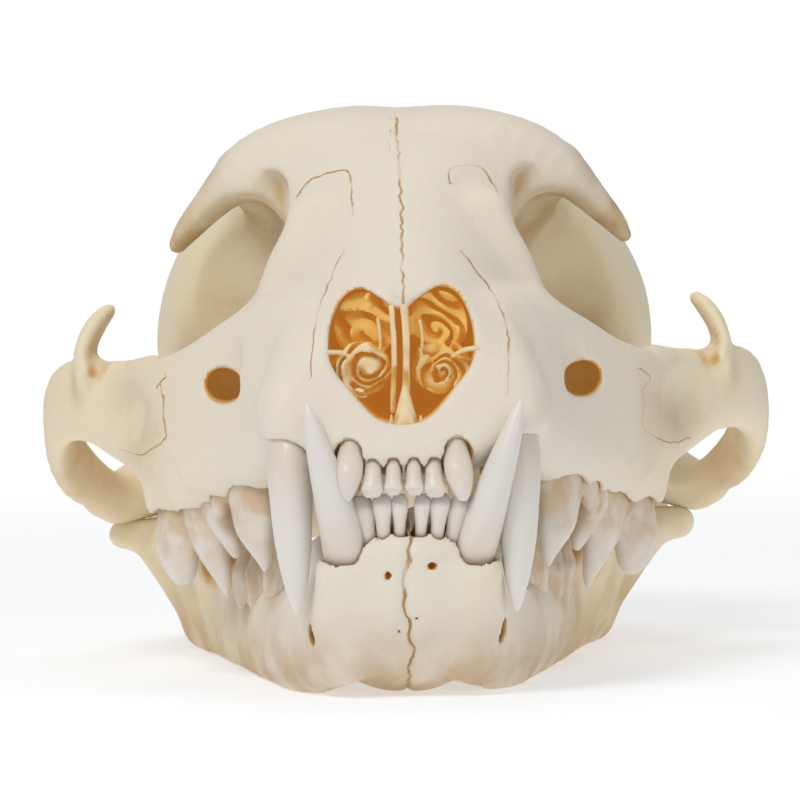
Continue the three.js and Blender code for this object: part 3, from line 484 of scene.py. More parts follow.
# %% Bones of the lower jaw
JAW_SHIFT, JAW_SWING, JAW_LEAN = -0.2, -0.0176, 0.045
jaw_body = [
    strand(SIDE_Z, [
        (9, 12, 11, 9.4, 4), (13.6, 23, 7.6, 8.2, 4.4), (16.6, 36, 7.3, 7.9, 4), (20, 52, 7.3, 7.7, 3.8),
        (23.3, 68, 7.6, 8, 3.4), (26.4, 83, 7.2, 7.4, 2.8), (28.8, 94, 4.6, 4.8, 2.4),
        (30.6, 105, 2.9, 2.7, 2)]),
    strand(SIDE_X, [(0, 6, 20.4, 7.6, 4), (0, 9, 14, 9.6, 5.4), (0, 13.6, 8, 10.2, 6.2),
                    (0, 19, 6.2, 10, 6.2)]),
    strand(SIDE_X, [(9.3, 7, 17.6, 3.6, 3.8), (8.8, 11, 12, 4, 4.4), (9.4, 17, 8.4, 4, 4.6)]),
    strand(SIDE_X, [(11.5, 13.4, 20.7, 1.8, 2.2), (13, 18, 19.2, 1.8, 2), (14, 23, 15, 1.6, 2)])]
ramus = [
    strand(SIDE_Y, [
        (24, 66, 12, 10, 2.4), (28.4, 76, 22, 10.5, 2), (33, 85, 32, 7.4, 1.6), (35.4, 90, 39.4, 4.4, 1.3),
        (36, 92.6, 42.4, 2.4, 1)]),
    strand(SIDE_Y, [(27.4, 84, 8, 10, 2), (30.6, 88, 15, 9, 2), (33.4, 90, 22, 7, 1.8)]),
    strand(SIDE_Z, [(29.5, 80, 17, 5, 1.8), (33, 91, 17.4, 3.6, 2.2), (35.4, 98, 17, 2.6, 2.6)]),
    strand(SIDE_Y, [(39.6, 99.4, 16.9, 2.2, 1.8), (36, 98, 12.2, 2.2, 1.8), (32.8, 98, 7.4, 2.4, 1.8),
                    (30.6, 100, 3.6, 3, 2)]),
    strand(SIDE_Y, [(30, 90, 6, 7, 1.8), (32.4, 93, 12, 6, 1.8), (35.4, 95, 17, 4.6, 1.8)])]
condyle = strand(SIDE_Z, [(29.4, 100.5, 16.6, 2.9, 2.8), (36, 100.2, 17, 2.9, 2.9),
                          (42.2, 99.6, 17.6, 2.3, 2.3)])
masseter_hollow = ball((37, 80, 15.5), (6, 13, 9.6))
mental_slit = strand(SIDE_Z, [(8, 15, 9.4, 1.5, 0.9), (13, 11, 9, 1.8, 1)])


def mental_holes(side):
    """The nerve holes of the chin, a little higher on the left."""
    return [mental_slit, ball((2.95, 3.4, 17.9 + 0.6 * side), (0.5, 2.8, 0.55)),
            ball((1.2, 7, 10.5 + 0.8 * side), (0.4, 2.6, 0.42))]


def lean_at(y, z):
    """How far the skewed jaw's middle lies to the left at a depth and height."""
    return JAW_SHIFT + JAW_SWING * y + JAW_LEAN * z


def leaning(shape, side):
    """A shape of the jaw on its own side, set askew with the jaw."""
    low, high = shape.box
    if side < 0:
        low, high = np.array([-high[0], *low[1:]]), np.array([-low[0], *high[1:]])
    slack = np.array([3, 0, 0])
    return Shape((low - slack, high + slack), lambda x, y, z: shape(side * (x - lean_at(y, z)), y, z))


# %% [markdown]
# ## Planning the teeth
# The bone has a socket for each tooth, so the teeth are planned first. A tooth is one or more cusps,
# and a cusp is a list of rings from the root, deep in the bone, to the tip. The cheek teeth are blades
# that run along the slanting tooth row; the others face the front.

# %% Plan the upper teeth
TOOTH_ROW, LOWER_ROW = (0.5, 0.87, 0), (0.37, 0.93, 0)


def incisor_rings(gum_x, edge_x, gum_half, edge_half, edge, y, gum, root):
    """A chisel that widens from the gum to its cutting edge; it points up or down, as edge lies."""
    down = math.copysign(1, gum - edge)
    return [
        (gum_x, y + 6, root, gum_half * 0.8, 1.2), (gum_x, y + 2.2, gum + down * 1.2, gum_half, 1.5),
        (gum_x * 0.6 + edge_x * 0.4, y + 0.9, gum * 0.8 + edge * 0.2, gum_half * 1.08, 1.55),
        (gum_x * 0.3 + edge_x * 0.7, y, gum * 0.4 + edge * 0.6, edge_half, 1.35),
        (edge_x, y + 0.1, edge + down * 0.9, edge_half, 0.9), (edge_x, y + 0.3, edge, edge_half * 0.62, 0.4)]


UPPER_TEETH = {
    "upper_incisor_1": (SIDE_X, [incisor_rings(1.4, 1.45, 1.0, 1.25, 28.2, 1.2, 31.2, 37)]),
    "upper_incisor_2": (SIDE_X, [incisor_rings(4.1, 4.3, 1.15, 1.5, 27.9, 1.5, 31.4, 37)]),
    "upper_incisor_3": (SIDE_X, [[
        (7.1, 6.6, 37, 1.2, 1.7), (7.3, 3.6, 33.8, 1.75, 2), (7.5, 2.2, 32, 1.98, 2),
        (7.7, 1.7, 30.2, 1.8, 1.7), (7.95, 1.7, 28.5, 1.2, 1.1), (8.1, 1.8, 27.4, 0.6, 0.5)]]),
    "upper_canine": (SIDE_X, [[
        (15.3, 10, 38.5, 2.8, 3.4), (15.5, 8.2, 33, 3.3, 4), (15.5, 7.4, 27, 2.95, 3.5),
        (15.4, 7.4, 21.5, 2.5, 2.8), (15.2, 7.9, 16.6, 1.75, 1.9), (15.1, 8.4, 13.2, 0.85, 0.9),
        (15.05, 8.6, 11.7, 0.25, 0.25)]]),
    "upper_premolar": (TOOTH_ROW, [
        [(21.5, 28.3, 32, 4.6, 1.9), (21.6, 28.4, 27.6, 5.5, 2.4), (21.3, 27.7, 24.4, 4.9, 2.3),
         (21, 27, 21.8, 4, 2.2), (20.4, 26.3, 19.8, 2.6, 1.7), (19.85, 25.7, 18, 1.3, 1),
         (19.8, 25.6, 16.5, 0.25, 0.25)],
        [(25.4, 33, 30, 1.5, 1.3), (25.9, 33.5, 26.6, 1.7, 1.4), (26.2, 33.8, 24.7, 1.4, 1.2),
         (26.2, 33.8, 23.3, 0.5, 0.5)]]),
    "upper_carnassial": (TOOTH_ROW, [
        [(26.9, 37.6, 29, 2, 1.6), (26.6, 37.4, 24.6, 2.6, 2.1), (25.8, 37, 22, 2.2, 1.8),
         (24.9, 36.7, 20.3, 1.8, 1.45), (24.3, 36.5, 18.8, 1.2, 1.1), (24.1, 36.4, 17.7, 0.35, 0.35)],
        [(28.6, 41.8, 29, 4, 2.2), (28.5, 41.8, 24, 4.8, 2.7), (28.1, 41.6, 20.4, 4.2, 2.4),
         (27.4, 41.3, 17.8, 3.2, 1.95), (26.6, 41, 15.6, 2.2, 1.45), (25.9, 40.8, 13.6, 1.1, 0.85),
         (25.6, 40.7, 11.8, 0.2, 0.2)],
        [(32.2, 48, 28, 4, 1.9), (32.6, 48, 23, 4.8, 2.4), (32.8, 48.2, 19, 4.9, 2.45),
         (32.6, 48, 16.2, 4, 2.1), (32.3, 47.8, 14.4, 2.6, 1.5), (32.3, 47.7, 13.4, 0.9, 0.6)]]),
    "upper_molar": (SIDE_X, [[(28.6, 52.4, 28, 2, 1.2), (28.6, 52.4, 24.4, 2.6, 1.6),
                              (28.6, 52.4, 22.4, 1.4, 0.9)]]),
}

# %% [markdown]
# The lower cheek teeth are alike but for size, so one function plans them all.

# %% Plan the lower teeth
def lower_cheek_cusps(x, y, half_length, top, gum):
    """A low blade with one main point and a smaller one before and behind it."""
    ahead = (0.26 * half_length, 0.65 * half_length)
    cusps = [[(x, y, gum - 5, half_length * 0.7, 1.3), (x, y, gum - 0.6, half_length * 0.95, 1.8),
              (x, y, gum + 1.6, half_length * 0.8, 1.6), (x, y, top - 1.8, half_length * 0.4, 1),
              (x, y, top, 0.3, 0.25)]]
    for way in (-1, 1):
        px, py = x + way * ahead[0], y + way * ahead[1]
        cusps.append([(px, py, gum - 4, 1.3, 1.1), (px, py, gum + 0.6, 1.7, 1.4),
                      (px, py, gum + 3.2, 0.4, 0.35)])
    return cusps


LOWER_TEETH = {
    "lower_incisor_1": (SIDE_X, [incisor_rings(1.45, 1.55, 0.8, 1.15, 28.4, 3, 23.4, 18)]),
    "lower_incisor_2": (SIDE_X, [incisor_rings(3.6, 4.0, 0.95, 1.35, 28.4, 3.3, 23.2, 18)]),
    "lower_incisor_3": (SIDE_X, [incisor_rings(5.5, 6.8, 1.15, 1.6, 28.1, 4.2, 22.4, 17)]),
    "lower_canine": (SIDE_X, [[
        (7.4, 14, 11, 2.4, 3), (8.6, 8.2, 18.6, 3, 3.6), (9.6, 5, 23.4, 2.95, 3.3),
        (11, 3.1, 28.8, 2.55, 2.8), (12.5, 2.4, 33.8, 1.95, 2.1), (13.6, 2.5, 37.4, 1.3, 1.35),
        (14.3, 2.7, 40, 0.65, 0.65), (14.6, 2.8, 41, 0.2, 0.2)]]),
    "lower_premolar_front": (LOWER_ROW, lower_cheek_cusps(14.6, 23, 4, 20.6, 15.2)),
    "lower_premolar_back": (LOWER_ROW, lower_cheek_cusps(17.6, 33.6, 5, 22, 15)),
    "lower_carnassial_front": (LOWER_ROW, lower_cheek_cusps(20.6, 43.4, 3.8, 22.6, 14.6)),
    "lower_carnassial_back": (LOWER_ROW, lower_cheek_cusps(22.2, 50, 4.2, 23, 14.6)),
}

# %% [markdown]
# A socket is the tooth's own form, a little larger. Thin ridges of gum bone hold the incisors.

# %% Shape the sockets
SOCKET_GAP = 0.24


def socket_room(plan):
    """The room that a tooth takes near the gum and beyond it, with a thin gap all round."""
    side, cusps = plan
    return [swell(strand(side, rings[1:]), SOCKET_GAP) for rings in cusps]


upper_rooms = [room for plan in UPPER_TEETH.values() for room in socket_room(plan)]
lower_rooms = [room for plan in LOWER_TEETH.values() for room in socket_room(plan)]
upper_gums = [
    strand(SIDE_X, [(0, 6.8, 32.2, 2.4, 2.6), (4, 7.4, 32.4, 2.4, 2.6), (9, 10, 33.4, 2.6, 2.6)]),
    strand(SIDE_X, [(0, 4.3, 33.4, 2.4, 2.5), (4.5, 4.9, 33.7, 2.4, 2.5), (9, 6.4, 34.6, 2.6, 2.6)])]
lower_gum = strand(SIDE_X, [(0, 7.6, 24.2, 2, 2.2), (4, 8.1, 24, 2, 2.2), (7.4, 10.2, 23, 2, 2)])
print("sockets of one side", len(upper_rooms) + len(lower_rooms))


# %% [markdown]
# ## Growing the bone
# The cranium is grown as one field on its own side and mirrored. Bone is never quite smooth or quite
# even, so gentle lumps are added to the field, and small pits above the cheek teeth, where the photo
# shows the bone rough.

# %% Lumps and pits
LUMP_SEED = 20
noise_seed = np.random.default_rng(LUMP_SEED)


def lumps(block, scale):
    """Smooth random values between about -1 and 1 over a block, with lumps of one size."""
    counts = [int(math.ceil((a[-1] - a[0]) / scale)) + 4 for a in block.axes]
    out = noise_seed.uniform(-1.6, 1.6, counts).astype(np.float32)
    for axis, a in enumerate(block.axes):
        g = (a - a[0]) / scale
        i = g.astype(int)
        t = g - i
        weights = np.zeros((len(a), counts[axis]), np.float32)
        rows = np.arange(len(a))
        for shift, w in enumerate([(1 - t) ** 3 / 6, (3 * t ** 3 - 6 * t ** 2 + 4) / 6,
                                   (-3 * t ** 3 + 3 * t ** 2 + 3 * t + 1) / 6, t ** 3 / 6]):
            weights[rows, i + shift] += w
        out = np.moveaxis(np.tensordot(weights, out, (1, axis)), 0, axis)
    return out * 1.6


# %% [markdown]
# Bones are added, hollows carved and bones added again in the order that keeps each edge clean: the
# orbits are cut before the brow and the arch, which stand free in front of them.

# %% Grow the cranium
half = Block((-1.5, -3, 10), (ARCH_HALF_WIDTH + 2.5, SKULL_LENGTH + 2, 85))
half.add(sectioned(VAULT), 4)
for bone in [tooth_bearing_maxilla, molar_corner, canine_root, zygomatic_root, lacrimal_rim, inner_bar]:
    half.add(bone, 4)
half.carve(beyond(NOSE_PLANE_AT, (0, -1, NOSE_SLANT)), 1.4)
half.carve(beyond((0, 147.4, 50), (0, 1, -0.3)), 1.6)
socket = half.twin()
for hollow in orbit:
    socket.add(hollow, 3)
half.d = -blend_min(-half.d, socket.d, 1.2)
half.carve(nose_hole, 0.5)
half.add(brow, 5)
half.add(arch, 2)
half.carve(cheek_hollow, 1.5)
half.carve(infraorbital_fossa, 1.5)
for bone in [
        socket_lip, bulla, skull_base, pterygoid, *mastoid, occipital_condyle, nuchal_crest, sagittal_crest,
        temple_line, postglenoid, jugal_hook]:
    half.add(bone, 2)
for hollow in [throat, infraorbital_canal, spinal_hole, ear_hole, canine_gap, *small_foramina]:
    half.carve(hollow, 0.6)
for gum in upper_gums:
    half.add(gum, 1.5)
for room in upper_rooms:
    half.carve(room, 0.25)

cranium = Block((-ARCH_HALF_WIDTH - 2.5, -3, 10), (ARCH_HALF_WIDTH + 2.5, SKULL_LENGTH + 2, 85))
for i, x in enumerate(cranium.axes[0]):
    g = (abs(x) - half.axes[0][0]) / half.step
    j = min(int(g), len(half.axes[0]) - 2)
    cranium.d[i] = half.d[j] * (1 - (g - j)) + half.d[j + 1] * (g - j)
x, y, z = cranium.spread()
cranium.d += 0.24 * lumps(cranium, 11) + 0.06 * lumps(cranium, 3.2)
cranium.d += 0.35 * np.exp(-(x / 5) ** 2 - ((z - 84) / 16) ** 2)
porous = np.exp(-((y - 40) / 13) ** 4 - ((z - 27.5) / 5.5) ** 4 - ((np.abs(x) - 29) / 11) ** 4)
cranium.d += porous * (0.2 * lumps(cranium, 1.5) + 0.16 * np.abs(lumps(cranium, 2.4)))
print("cranium grid", cranium.d.shape)

# %% [markdown]
# The jaw halves meet at a wavy seam in a shallow groove, and stand on flats at the level of the floor.

# %% Grow the jaw halves
JAW_RUN_PAST = 0.3
FLATS_AT = 0.02  # a hair above the floor


def off_seam(x, y, z):
    """How far a point lies from the wavy seam between the jaw halves."""
    return x - 0.1 - 0.45 * np.sin(z * 0.42 - 1.4) - 0.22 * np.sin(z * 1.7 + 0.4 * y)


jaws = {}
for side, name in [(1, "mandible_left"), (-1, "mandible_right")]:
    reach = sorted([side * 46, side * -4])
    block = Block((reach[0] - 3, -3, -2), (reach[1] + 3, 110, 47))
    for bone in jaw_body:
        block.add(leaning(bone, side), 3)
    for bone in ramus:
        block.add(leaning(bone, side), 2.5)
    block.carve(leaning(masseter_hollow, side), 2)
    block.add(leaning(condyle, side), 1)
    for hole in mental_holes(side):
        block.carve(leaning(hole, side), 0.3)
    block.add(leaning(lower_gum, side), 1)
    for room in lower_rooms:
        block.carve(leaning(room, side), 0.25)
    block.d += 0.16 * lumps(block, 9) + 0.06 * lumps(block, 3)
    x, y, z = block.spread()
    groove = off_seam(x, y, z)
    block.d += 0.45 * np.exp(-(groove / 0.6) ** 2)
    block.d = np.maximum(block.d, -side * groove - JAW_RUN_PAST)
    block.carve(beyond((0, 0, FLATS_AT), (0, 0, -1)), 0.3)
    jaws[name] = block
    print(name, "grid", block.d.shape)


# %% [markdown]
# ## From field to mesh
# Surface nets: every grid cell that the surface passes through gets one point, at the middle of the
# places where the surface cuts the cell's edges, and every cut edge gets a four-sided face.

# %% Surface nets
def net(block, name, faces_wanted):
    """The surface of a block's field as a mesh object, smoothed and thinned."""
    d = block.d
    shape = np.array(d.shape)
    cells = shape - 1
    inside = d < 0
    sums = np.zeros((4, cells.prod()))
    quads = []
    strides = np.array([cells[1] * cells[2], cells[2], 1])
    for axis in range(3):
        others = [a for a in range(3) if a != axis]
        near = [slice(None)] * 3
        ahead = [slice(None)] * 3
        near[axis], ahead[axis] = slice(0, -1), slice(1, None)
        a, b = d[tuple(near)], d[tuple(ahead)]
        cut = np.argwhere(inside[tuple(near)] != inside[tuple(ahead)])
        keep = np.all([(cut[:, o] > 0) & (cut[:, o] < shape[o] - 1) for o in others], axis=0)
        cut = cut[keep]
        va, vb = a[tuple(cut.T)], b[tuple(cut.T)]
        spot = cut.astype(float)
        spot[:, axis] += va / (va - vb)
        ids = []
        for u, v in [(0, 0), (1, 0), (1, 1), (0, 1)]:
            cell = cut.copy()
            cell[:, others[0]] -= u
            cell[:, others[1]] -= v
            flat = cell @ strides
            ids.append(flat)
            for c in range(3):
                sums[c] += np.bincount(flat, spot[:, c], minlength=sums.shape[1])
            sums[3] += np.bincount(flat, minlength=sums.shape[1])
        quad = np.stack(ids, axis=1)
        flip = (va > 0) if axis != 1 else (va < 0)
        quad[flip] = quad[flip][:, ::-1]
        quads.append(quad)
    quads = np.vstack(quads)
    used, quads = np.unique(quads, return_inverse=True)
    quads = quads.reshape(-1, 4)
    points = (sums[:3, used] / sums[3, used]).T * block.step + block.low
    mesh = bpy.data.meshes.new(name)
    mesh.vertices.add(len(points))
    mesh.vertices.foreach_set("co", ((points + [0, -SKULL_LENGTH / 2, 0]) * MM).ravel())
    mesh.loops.add(quads.size)
    mesh.loops.foreach_set("vertex_index", quads.ravel())
    mesh.polygons.add(len(quads))
    mesh.polygons.foreach_set("loop_start", np.arange(0, quads.size, 4))
    mesh.update(calc_edges=True)
    mesh.validate()
    piece = bpy.data.objects.new(name, mesh)
    bpy.context.scene.collection.objects.link(piece)
    soften = piece.modifiers.new("soften", "SMOOTH")
    soften.factor = 0.5
    soften.iterations = 2
    fewer = piece.modifiers.new("fewer_faces", "DECIMATE")
    fewer.ratio = min(1.0, faces_wanted / (2 * len(quads)))
    finish_mesh(piece)
    print(name, "quads", len(quads), "kept faces", len(piece.data.polygons))
    return piece


def select_only(piece):
    bpy.ops.object.select_all(action="DESELECT")
    piece.select_set(True)
    bpy.context.view_layer.objects.active = piece


def finish_mesh(piece):
    """Apply the modifiers in order, then shade smooth."""
    select_only(piece)
    for modifier in list(piece.modifiers):
        bpy.ops.object.modifier_apply(modifier=modifier.name)
    bpy.ops.object.shade_smooth()


# %% [markdown]
# The cranium is one field but four named bones. They are parted along wavy lines near the real
# sutures. Each bone runs a little way into its neighbour, where it can't be seen, so no gap shows.

# %% Part the cranium at its sutures
ARCH_CUT, WAIST_CUT = 39.15, 76.0
RUN_PAST = 0.45
SUTURE_SWAY = 0.9
wave = lumps(cranium, 2.6) * SUTURE_SWAY
x, y, _ = cranium.spread()
arch_side = (np.abs(x) - ARCH_CUT + wave).astype(np.float32)
behind = (y - WAIST_CUT + wave).astype(np.float32)


def parted(*sides):
    """The cranium's field, kept only where every given side is negative."""
    block = cranium.twin()
    block.d = cranium.d.copy()
    for side in sides:
        block.d = np.maximum(block.d, side - RUN_PAST)
    return block


pieces = {
    "face": net(parted(arch_side, behind), "face_bone", 196000),
    "braincase": net(parted(arch_side, -behind), "braincase_bone", 150000),
    "zygomatic_arch_left": net(parted(-arch_side, -x), "zygomatic_arch_left_bone", 30000),
    "zygomatic_arch_right": net(parted(-arch_side, x), "zygomatic_arch_right_bone", 30000),
    "mandible_left": net(jaws["mandible_left"], "mandible_left_bone", 90000),
    "mandible_right": net(jaws["mandible_right"], "mandible_right_bone", 90000),
}

# %% [markdown]
# ## Inside the nose
# A septum of two thin plates stands in the middle. On each side a scroll of paper-thin bone fills the
# airway: a spiral wall, pierced like lace at its front edge.

# %% Grow the nasal scrolls
NOSE_BACK = 28.0
SCROLL_STEP = 0.23  # a finer grid, for thin walls
nose = Block((-11, 3.5, 36.6), (11, NOSE_BACK + 3, 57.5), SCROLL_STEP)
x, y, z = nose.spread()
broad, middle, fine = lumps(nose, 3.4), lumps(nose, 1.7), lumps(nose, 0.8)

septum = np.minimum(np.abs(x + 1.15 + 0.2 * broad) - 0.38, np.abs(x - 0.55 + 0.2 * broad) - 0.5)
septum = np.maximum(septum, 9.5 + 0.9 * middle - 0.12 * (z - 46) - y)
nose.d = np.maximum(septum, np.abs(z - 46.5) - 7.4)


def scroll_walls(x, z, centre, pitch, warp):
    """A spiral wall about a centre, in the plane that faces the front."""
    u, v = x - centre[0], z - centre[1]
    turns = np.hypot(u, v) / pitch + np.arctan2(v, u) / math.tau + warp
    return (np.abs(turns - np.floor(turns) - 0.5) - 0.24) * pitch


for way in (-1, 1):
    sideways = way * x
    low_scroll = scroll_walls(sideways, z, (5.6, 44.8), 1.5, 1.2 * broad + 0.7 * middle)
    low_room = np.sqrt(((sideways - 5.5) / 4) ** 2 + ((z - 45.2) / 3.7) ** 2) - 1 + 0.06 * middle
    low_scroll = np.maximum(np.maximum(low_scroll, low_room * 3.6), 10.8 + 1.6 * middle + 0.9 * fine - y)
    low_scroll = np.maximum(low_scroll, (fine + 0.5 * middle - 0.3 - 0.14 * (y - 10)) * 0.5)
    high_scroll = scroll_walls(sideways, z, (5.2, 50.2), 2.6, 1.1 * broad + 0.3 * middle)
    high_room = np.sqrt(((sideways - 5) / 4.2) ** 2 + ((z - 51) / 4.6) ** 2) - 1
    high_scroll = np.maximum(np.maximum(high_scroll, high_room * 4), 14.5 + 1.4 * middle - y)
    nose.d = np.minimum(nose.d, np.minimum(low_scroll, high_scroll))
for shape in [
        strand(SIDE_X, [(0.4, 9, 42.2, 0.5, 1.2), (0.4, 7.6, 40.4, 1, 1.2), (0.4, 6.4, 38.4, 1.5, 1.4),
                        (0.4, 6, 37, 1.7, 1.6)]),
        strand(SIDE_X, [(-3.1, 11, 52, 0.3, 0.4), (-2.8, 10.4, 49.4, 0.28, 0.35), (-3, 11, 46.6, 0.3, 0.4)]),
        strand(SIDE_X, [(2.6, 11, 51.6, 0.3, 0.4), (2.9, 10.6, 49, 0.25, 0.35), (2.5, 11, 46.6, 0.3, 0.4)]),
        strand(SIDE_X, [(-1.4, 5.6, 36.9, 0.5, 0.5), (-1.5, 5.2, 38.2, 0.34, 0.34),
                        (-1.55, 5, 39.3, 0.12, 0.12)]),
        strand(SIDE_X, [(2.5, 5.6, 36.9, 0.5, 0.5), (2.5, 5.2, 38.1, 0.34, 0.34),
                        (2.45, 5, 39.1, 0.12, 0.12)]),
        strand(SIDE_Y, [(-10.6, 10, 47.6, 1.4, 0.4), (-8.4, 10.6, 47.5, 1.4, 0.34),
                        (-6.8, 11, 46.8, 1, 0.3)]),
        strand(SIDE_Y, [(10.8, 10, 47.8, 1.4, 0.4), (8.6, 10.6, 47.5, 1.4, 0.34), (7, 11, 46.7, 1, 0.3)])]:
    nose.add(shape, 0.3)
nose.d = np.maximum(nose.d, y - NOSE_BACK)
scrolls = net(nose, "nasal_scrolls", 90000)

# %% [markdown]
# ## Bone colour
# Dry bone is pale at the front and creamy towards the back. Tan in hollows and gold in creases are painted
# shade, and amber deep inside the nose is painted shade and glow, where little light reaches. The field
# itself tells how deep in a hollow each point lies: a step away from the surface should be that far from it,
# and in a hollow it is less.
#
# The cracks and seams are lines of points (x, z) as seen from the front, each with its own width, and
# the stain-and-shade spots (place, radius, strength) are mirrored on both sides: most are painted shade, in
# the orbits, under the brow tips, behind the cheek canals, round the cheek teeth and low on the jaw, and the
# rest darken the back of the skull.

# %% Draw the seams, stains and painted shade
SEAMS = [
    (1.0, [(-0.1, 80), (-0.1, 76.5), (0.1, 73), (0.3, 68), (0.4, 62.5), (0.4, 57), (0.5, 53.5)]),
    (0.7, [(-14.7, 68.5), (-13.5, 70), (-12.4, 71.2), (-9.7, 72), (-7.1, 72.2), (-6.7, 69.6), (-6.4, 66)]),
    (0.6, [(7.3, 70), (7.3, 72.2), (10.2, 72.7), (12, 72), (13.2, 70.2), (14.3, 68.4)]),
    (0.7, [(8.3, 61), (11, 57.6), (13.3, 54.2), (14.6, 50.2), (14.7, 45.5), (14.4, 40.7)]),
    (0.5, [(-7.4, 61.4), (-8.8, 59.4), (-9.6, 57.4), (-11.3, 53.4), (-12.1, 48.8), (-12.5, 44)]),
]
JUGAL_SEAM = [
    (33.5, 43.7), (35.3, 41.7), (34, 40.8), (34.2, 39.4), (34, 37), (34, 35), (36.1, 33.1), (38.4, 32.3),
    (41.3, 32.9)]
SEAMS += [(0.6, JUGAL_SEAM), (0.6, [(-x, z) for x, z in JUGAL_SEAM])]
# stain and painted-shade spots: most are painted shade in the orbits, under the brow tips, behind the cheek
# canals, round the cheek teeth and low on the jaw
STAIN_AND_SHADE_SPOTS = [
    ((31, 65, 64.5), 8, 1.0), ((25, 62, 70), 7, 0.6), ((22, 60, 60), 13, 0.6), ((37, 48, 37), 13, 0.3),
    ((25, 46, 43), 7, 0.9), ((26, 84, 43), 15, 0.7), ((24, 70, 65), 17, 0.75), ((49, 90, 29), 14, 0.35),
    ((30, 101, 7), 12, 0.7), ((46, 62, 42), 5, 0.4), ((25, 40, 25.5), 5, 0.5), ((33, 50, 24), 5, 0.45),
    ((16, 30, 13), 8, 0.4), ((21, 48, 13), 9, 0.6), ((10, 40, 30), 12, 0.5), ((24, 60, 2), 15, 0.6),
    ((30, 130, 30), 20, 0.35), ((10, 148, 45), 14, 0.35), ((16, 112, 18), 12, 0.35)]
SEAM_REACH, NO_SEAM = 1.5, 9.0


def smoothstep(low, high, v):
    t = np.clip((v - low) / (high - low), 0, 1)
    return t * t * (3 - 2 * t)


def store(piece, name, values):
    """Give each point of a mesh its own value, or all of them the same."""
    layers = piece.data.attributes
    layer = layers[name] if name in layers else layers.new(name, "FLOAT", "POINT")
    layer.data.foreach_set("value", np.broadcast_to(values, len(layer.data)).astype(np.float32))


def seams_at(p):
    """How far each point lies to one side of the nearest seam, and whether a seam is there at all."""
    off = np.full(len(p), SEAM_REACH)
    here = np.zeros(len(p))
    for width, line in SEAMS:
        line = smooth_line(line, 3)
        nearest = np.full(len(p), NO_SEAM)
        signed = np.full(len(p), NO_SEAM)
        for i, (a, b) in enumerate(zip(line[:-1], line[1:])):
            run = b - a
            w = p[:, [0, 2]] - a
            h = (w @ run) / run.dot(run)
            inside = np.clip(h, 0, 1)
            away = np.linalg.norm(w - inside[:, None] * run, axis=1)
            past_end = ((h < 0) & (i == 0)) | ((h > 1) & (i == len(line) - 2))
            side = np.sign(run[0] * w[:, 1] - run[1] * w[:, 0])
            closer = away < nearest
            nearest[closer] = away[closer]
            signed[closer] = np.where(past_end, NO_SEAM, side * away)[closer]
        closer = np.abs(signed) < np.minimum(np.abs(off), SEAM_REACH)
        off[closer] = signed[closer] / width
        here[closer] = 1 - smoothstep(0.7, 1.2, np.abs(signed[closer]))
    return np.clip(off, -4, 4), here


def stain_and_shade_at(p):
    """How stained or painted with shade each point is, by the strongest spot near it."""
    total = np.zeros(len(p))
    for spot, radius, strength in STAIN_AND_SHADE_SPOTS:
        away = np.linalg.norm(np.abs(p * [1, 0, 0]) + p * [0, 1, 1] - spot, axis=1)
        total = np.maximum(total, strength * (1 - smoothstep(0.25, 1, away / radius)))
    return total


# %% [markdown]
# Each mesh is given what its material needs to know, point by point: how deep in a crease or hollow the
# point lies, whether it is inside the nose, how far back it is, how much stain or painted shade, and how far
# from a seam.

# %% Measure the hollows
nose_room = Block((-12, -3, 36), (12, NOSE_DEPTH + 3, 59))
nose_room.add(nose_hole, 0.1)


def per_point(mesh, what):
    values = np.empty(len(mesh.vertices) * 3, np.float32)
    mesh.vertices.foreach_get(what, values)
    return values.reshape(-1, 3)


def skull_points(mesh):
    """A mesh's points in skull millimetres."""
    return per_point(mesh, "co") / MM + [0, SKULL_LENGTH / 2, 0]


def measure(piece, block):
    """Store on a mesh what the material needs, from the field that the mesh came from."""
    p, n = skull_points(piece.data), per_point(piece.data, "normal")
    fine, middle, broad = (1 - np.clip(block.at(p + n * step) / step, 0, 1) for step in (1.0, 3.0, 9.0))
    store(piece, "crease", fine)
    store(piece, "hollow", 0.5 * middle + 0.5 * broad)
    # painted shade and glow: the nose turns amber the deeper inside it a point lies, and the back of each
    # cheek canal glows as if lit through from the orbit
    depth = p[:, 1] - nose_front(p[:, 2])
    in_nose = (nose_room.at(p) < 0.6) & (p[:, 1] < NOSE_DEPTH + 2)
    in_canal = infraorbital_canal(np.abs(p[:, 0]), p[:, 1], p[:, 2]) < 0.5
    canal_glow = 0.5 * smoothstep(27, 33, p[:, 1]) * in_canal
    store(piece, "nose", np.maximum(smoothstep(0.7, 5, depth) * in_nose, canal_glow))
    store(piece, "back", smoothstep(15, 75, p[:, 1]) * (1 - 0.75 * smoothstep(60, 74, p[:, 2])))
    # painted shade: the jaws darken towards the bottom, where less of the light from above falls
    low_jaw_shade = 0 if block in (cranium, nose) else 0.8 * (1 - smoothstep(-2, 15, p[:, 2]))
    store(piece, "stain_and_shade", np.maximum(stain_and_shade_at(p), low_jaw_shade))
    if block is cranium:
        off, here = seams_at(p)
        here *= (p[:, 1] < 66) & (n[:, 1] < 0.4)
    else:
        off = off_seam(*p.T) / 1.2
        here = (1 - smoothstep(1, 1.6, np.abs(off))) * (p[:, 1] < 16)
    store(piece, "seam", off)
    store(piece, "seam_here", here)


for node, piece in pieces.items():
    measure(piece, jaws.get(node, cranium))
measure(scrolls, nose)
# painted shade and glow: the scrolls turn amber the deeper they lie
depth = skull_points(scrolls.data)[:, 1]
store(scrolls, "nose", 0.4 + 0.6 * smoothstep(9, 13.5, depth))
store(scrolls, "seam_here", 0.0)
store(scrolls, "back", 0.3)

# %% [markdown]
# The material mixes its colours by those values, breaks them up with noise, and adds fine pores.

